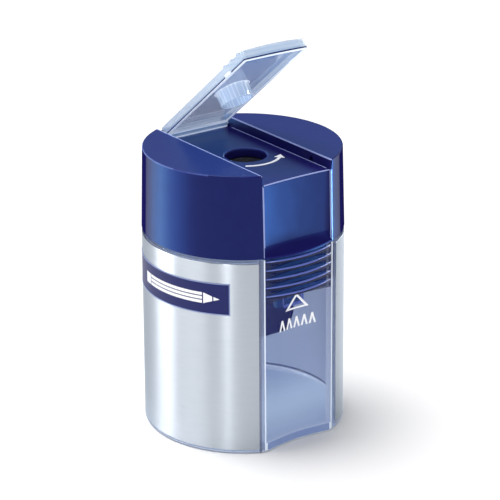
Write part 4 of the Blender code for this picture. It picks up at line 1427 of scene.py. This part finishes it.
# %% [markdown]
# The band on the sleeve has a fine pale outline, as a printer would key it to the silver. The
# pencil on it is drawn from a few strokes: barrel, rubber, cone and point.

# %% Print the sleeve's band
BAND_LOW, BAND_HIGH = 30.7 * MM, 37.5 * MM
BAND_FRONT = math.radians(-43.0) * FOOT_RADIUS
BAND_BACK = math.radians(-152.0) * FOOT_RADIUS
LINE = 0.22 * MM                           # width of the outline, and of the pencil's gaps
BAND_STEPS = 140                           # columns that keep the band round
band_corners = rectangle((BAND_BACK, BAND_LOW), (BAND_FRONT, BAND_HIGH))
band = merged("sleeve_band", [patch("fill", band_corners, on_sleeve, BAND_STEPS, 8)])
dress(band, navy_ink, "tub_body")

on_band = over(on_sleeve, 1.2 * INK)
level_lines = [
    patch("line", rectangle((BAND_BACK, z - LINE), (BAND_FRONT, z)), on_band, BAND_STEPS, 2)
    for z in (BAND_LOW + LINE, BAND_HIGH)
]
end_lines = [
    patch("line", rectangle((way - LINE, BAND_LOW), (way, BAND_HIGH)), on_band, 2, 8)
    for way in (BAND_FRONT, BAND_BACK + LINE)
]
outline = merged("sleeve_band_outline", level_lines + end_lines)
dress(outline, pale_ink, "tub_body")

# %% Print the pencil on the band
PENCIL_HALF = 1.15 * MM
CONE_LONG, POINT_LONG = 3.4 * MM, 1.2 * MM
BARREL_LONG, RUBBER_LONG = 15.0 * MM, 2.0 * MM
BARE = 0.28 * MM                           # unprinted gap between two parts of the pencil
POINT_BLUNT = 0.02 * MM                    # half the width of the very tip
CONE_END = 0.42                            # the cone's far end, as a share of the barrel
BARREL_FACETS = 3
middle = 0.5 * (BAND_LOW + BAND_HIGH)
tip_way = BAND_FRONT - 2.2 * MM
point_start = tip_way - POINT_LONG
barrel_end = tip_way - CONE_LONG
barrel_start = barrel_end - BARREL_LONG
rubber_end = barrel_start - BARE


def taper(start, end, start_half, end_half):
    """Corners of a level stroke along the band's middle that changes its width evenly."""
    return [(start, middle - start_half), (end, middle - end_half),
            (end, middle + end_half), (start, middle + start_half)]


point = taper(point_start, tip_way, PENCIL_HALF * POINT_LONG / CONE_LONG, POINT_BLUNT)
cone = taper(barrel_end, point_start - BARE, PENCIL_HALF, PENCIL_HALF * CONE_END)
rubber = taper(rubber_end - RUBBER_LONG, rubber_end, PENCIL_HALF, PENCIL_HALF)
facet_high = (2 * PENCIL_HALF - (BARREL_FACETS - 1) * LINE) / BARREL_FACETS
marks = [patch("point", point, on_band, 10, 4), patch("cone", cone, on_band, 12, 6)]
for index in range(BARREL_FACETS):
    low = middle - PENCIL_HALF + index * (facet_high + LINE)
    facet = rectangle((barrel_start, low), (barrel_end - BARE, low + facet_high))
    marks.append(patch("facet", facet, on_band, 60, 3))
marks.append(patch("rubber", rubber, on_band, 12, 4))
pencil = merged("sleeve_pencil_mark", marks)
dress(pencil, white_ink, "tub_body")

# %% Print the press marks
TRIANGLE = np.array([(-2.95, 29.75), (2.95, 29.75), (0.0, 33.1)]) * MM
TRIANGLE_SHARE = 0.68                      # the inner triangle's size, as a share of the outer
triangle_middle = TRIANGLE.mean(axis=0)
sides = [np.linspace(TRIANGLE[i], TRIANGLE[(i + 1) % 3], 13)[:-1] for i in range(3)]
loop = np.concatenate([*sides, TRIANGLE[:1]])
inner_loop = triangle_middle + TRIANGLE_SHARE * (loop - triangle_middle)
strokes = [film("triangle", np.stack([inner_loop, loop]), on_window)]
CHEVRONS, CHEVRON_STEP, CHEVRON_HALF = 5, 1.9 * MM, 0.62 * MM
CHEVRON_LOW, CHEVRON_RISE, CHEVRON_LINE = 25.7 * MM, 2.3 * MM, 0.4 * MM
for index in range(CHEVRONS):
    centre = (index - 0.5 * (CHEVRONS - 1)) * CHEVRON_STEP
    peak = (centre, CHEVRON_LOW + CHEVRON_RISE)
    for side in (-1, 1):
        leg = stroke((centre + side * CHEVRON_HALF, CHEVRON_LOW), peak, CHEVRON_LINE)
        strokes.append(patch("chevron", leg, on_window, 6, 3))
press_mark = merged("press_mark", strokes)
press_mark.data.materials.append(white_ink)
bend_with_pad(press_mark)
print("press_mark:", len(press_mark.data.polygons), "faces")

# %% [markdown]
# Where the channel's walls meet its floor, the mould leaves a small fillet that catches the light.
# It is narrower than a Bevel would show, so its light is laid in as a thin strip of painted
# highlight, like a mark.

# %% Lay painted highlights on the fillets at the foot of the channel's walls
FILLET_X, FILLET_HALF = 0.985 * CHANNEL_FOOT_HALF, 0.09 * MM
FILLET_FRONT, FILLET_BACK = -17.6 * MM, 15.0 * MM
fillet_highlights = []
for centre in (-FILLET_X, FILLET_X):
    strip = rectangle((centre - FILLET_HALF, FILLET_FRONT), (centre + FILLET_HALF, FILLET_BACK))
    fillet_highlights.append(patch("fillet", strip, over(on_channel, INK), 2, 30))
dress(merged("channel_fillet_highlights", fillet_highlights), edge_highlight_blue, "head_body")

# %% Print the turning arrow by the hole
ARROW_RADIUS, ARROW_WIDE = 7.1 * MM, 0.62 * MM
ARROW_START, ARROW_NECK, ARROW_TIP = np.radians([-126, -50, -35])      # turned from +X
BARB, TIP_BLUNT = 1.1 * MM, 0.02 * MM      # half widths of the arrowhead at its neck and tip
turn = np.linspace(ARROW_START, ARROW_NECK, 60)
ring = np.array([ARROW_RADIUS - 0.5 * ARROW_WIDE, ARROW_RADIUS + 0.5 * ARROW_WIDE])
sweep, reach = np.meshgrid(turn, ring)
bend_points = np.stack([reach * np.cos(sweep), HOLE_Y + reach * np.sin(sweep)], -1)
bend = film("bend", bend_points, on_channel)
neck_way = np.array([math.cos(ARROW_NECK), math.sin(ARROW_NECK)])
tip_way = np.array([math.cos(ARROW_TIP), math.sin(ARROW_TIP)])
head_corners = np.array([0.0, HOLE_Y]) + np.array([
    neck_way * (ARROW_RADIUS - BARB), neck_way * (ARROW_RADIUS + BARB),
    tip_way * (ARROW_RADIUS + TIP_BLUNT), tip_way * (ARROW_RADIUS - TIP_BLUNT)])
arrow_tip = patch("tip", head_corners, on_channel, 8, 8)
arrow = merged("turning_arrow", [bend, arrow_tip])
dress(arrow, white_ink, "head_body")

# %% [markdown]
# ## Which lamp reaches which piece
#
# Every piece now exists, so the lamps can be shared out. In a real studio this is the work of
# flags and cards; here each lamp has a list of the pieces it reaches, and a list of those that may
# shade it. The sleeve's boxes leave the head alone, and nothing but the head shades its own.

# %% Hand the lamps their pieces
def light_only(lamps, name, pieces, blockers=None):
    """Lets lamps reach only some pieces, the way flags and cards do round a real object.

    With blockers given, only those pieces cast the lamp's shadows.
    """
    group = bpy.data.collections.new(name)
    for piece in pieces:
        group.objects.link(piece)
    for lamp in lamps:
        lamp.light_linking.receiver_collection = group
    if blockers is not None:
        shade = bpy.data.collections.new(name + "_shade")
        for piece in blockers:
            shade.objects.link(piece)
        for lamp in lamps:
            lamp.light_linking.blocker_collection = shade


light_only(foil_lamps, "lit_foil", [sleeve, band, outline, pencil])
light_only(head_lamps, "lit_head", [head], [head])
light_only(clear_lamps, "lit_clear", [tub, window, lid])
light_only([tub_fill, tub_side], "lit_tub", [tub, window], [lid])
light_only([lid_fill], "lit_lid", [lid], [head])
light_only([lid_under], "lit_lid_under", [lid], [arrow])
light_only([mark_fill], "lit_marks", [pencil, press_mark, arrow], [lid])
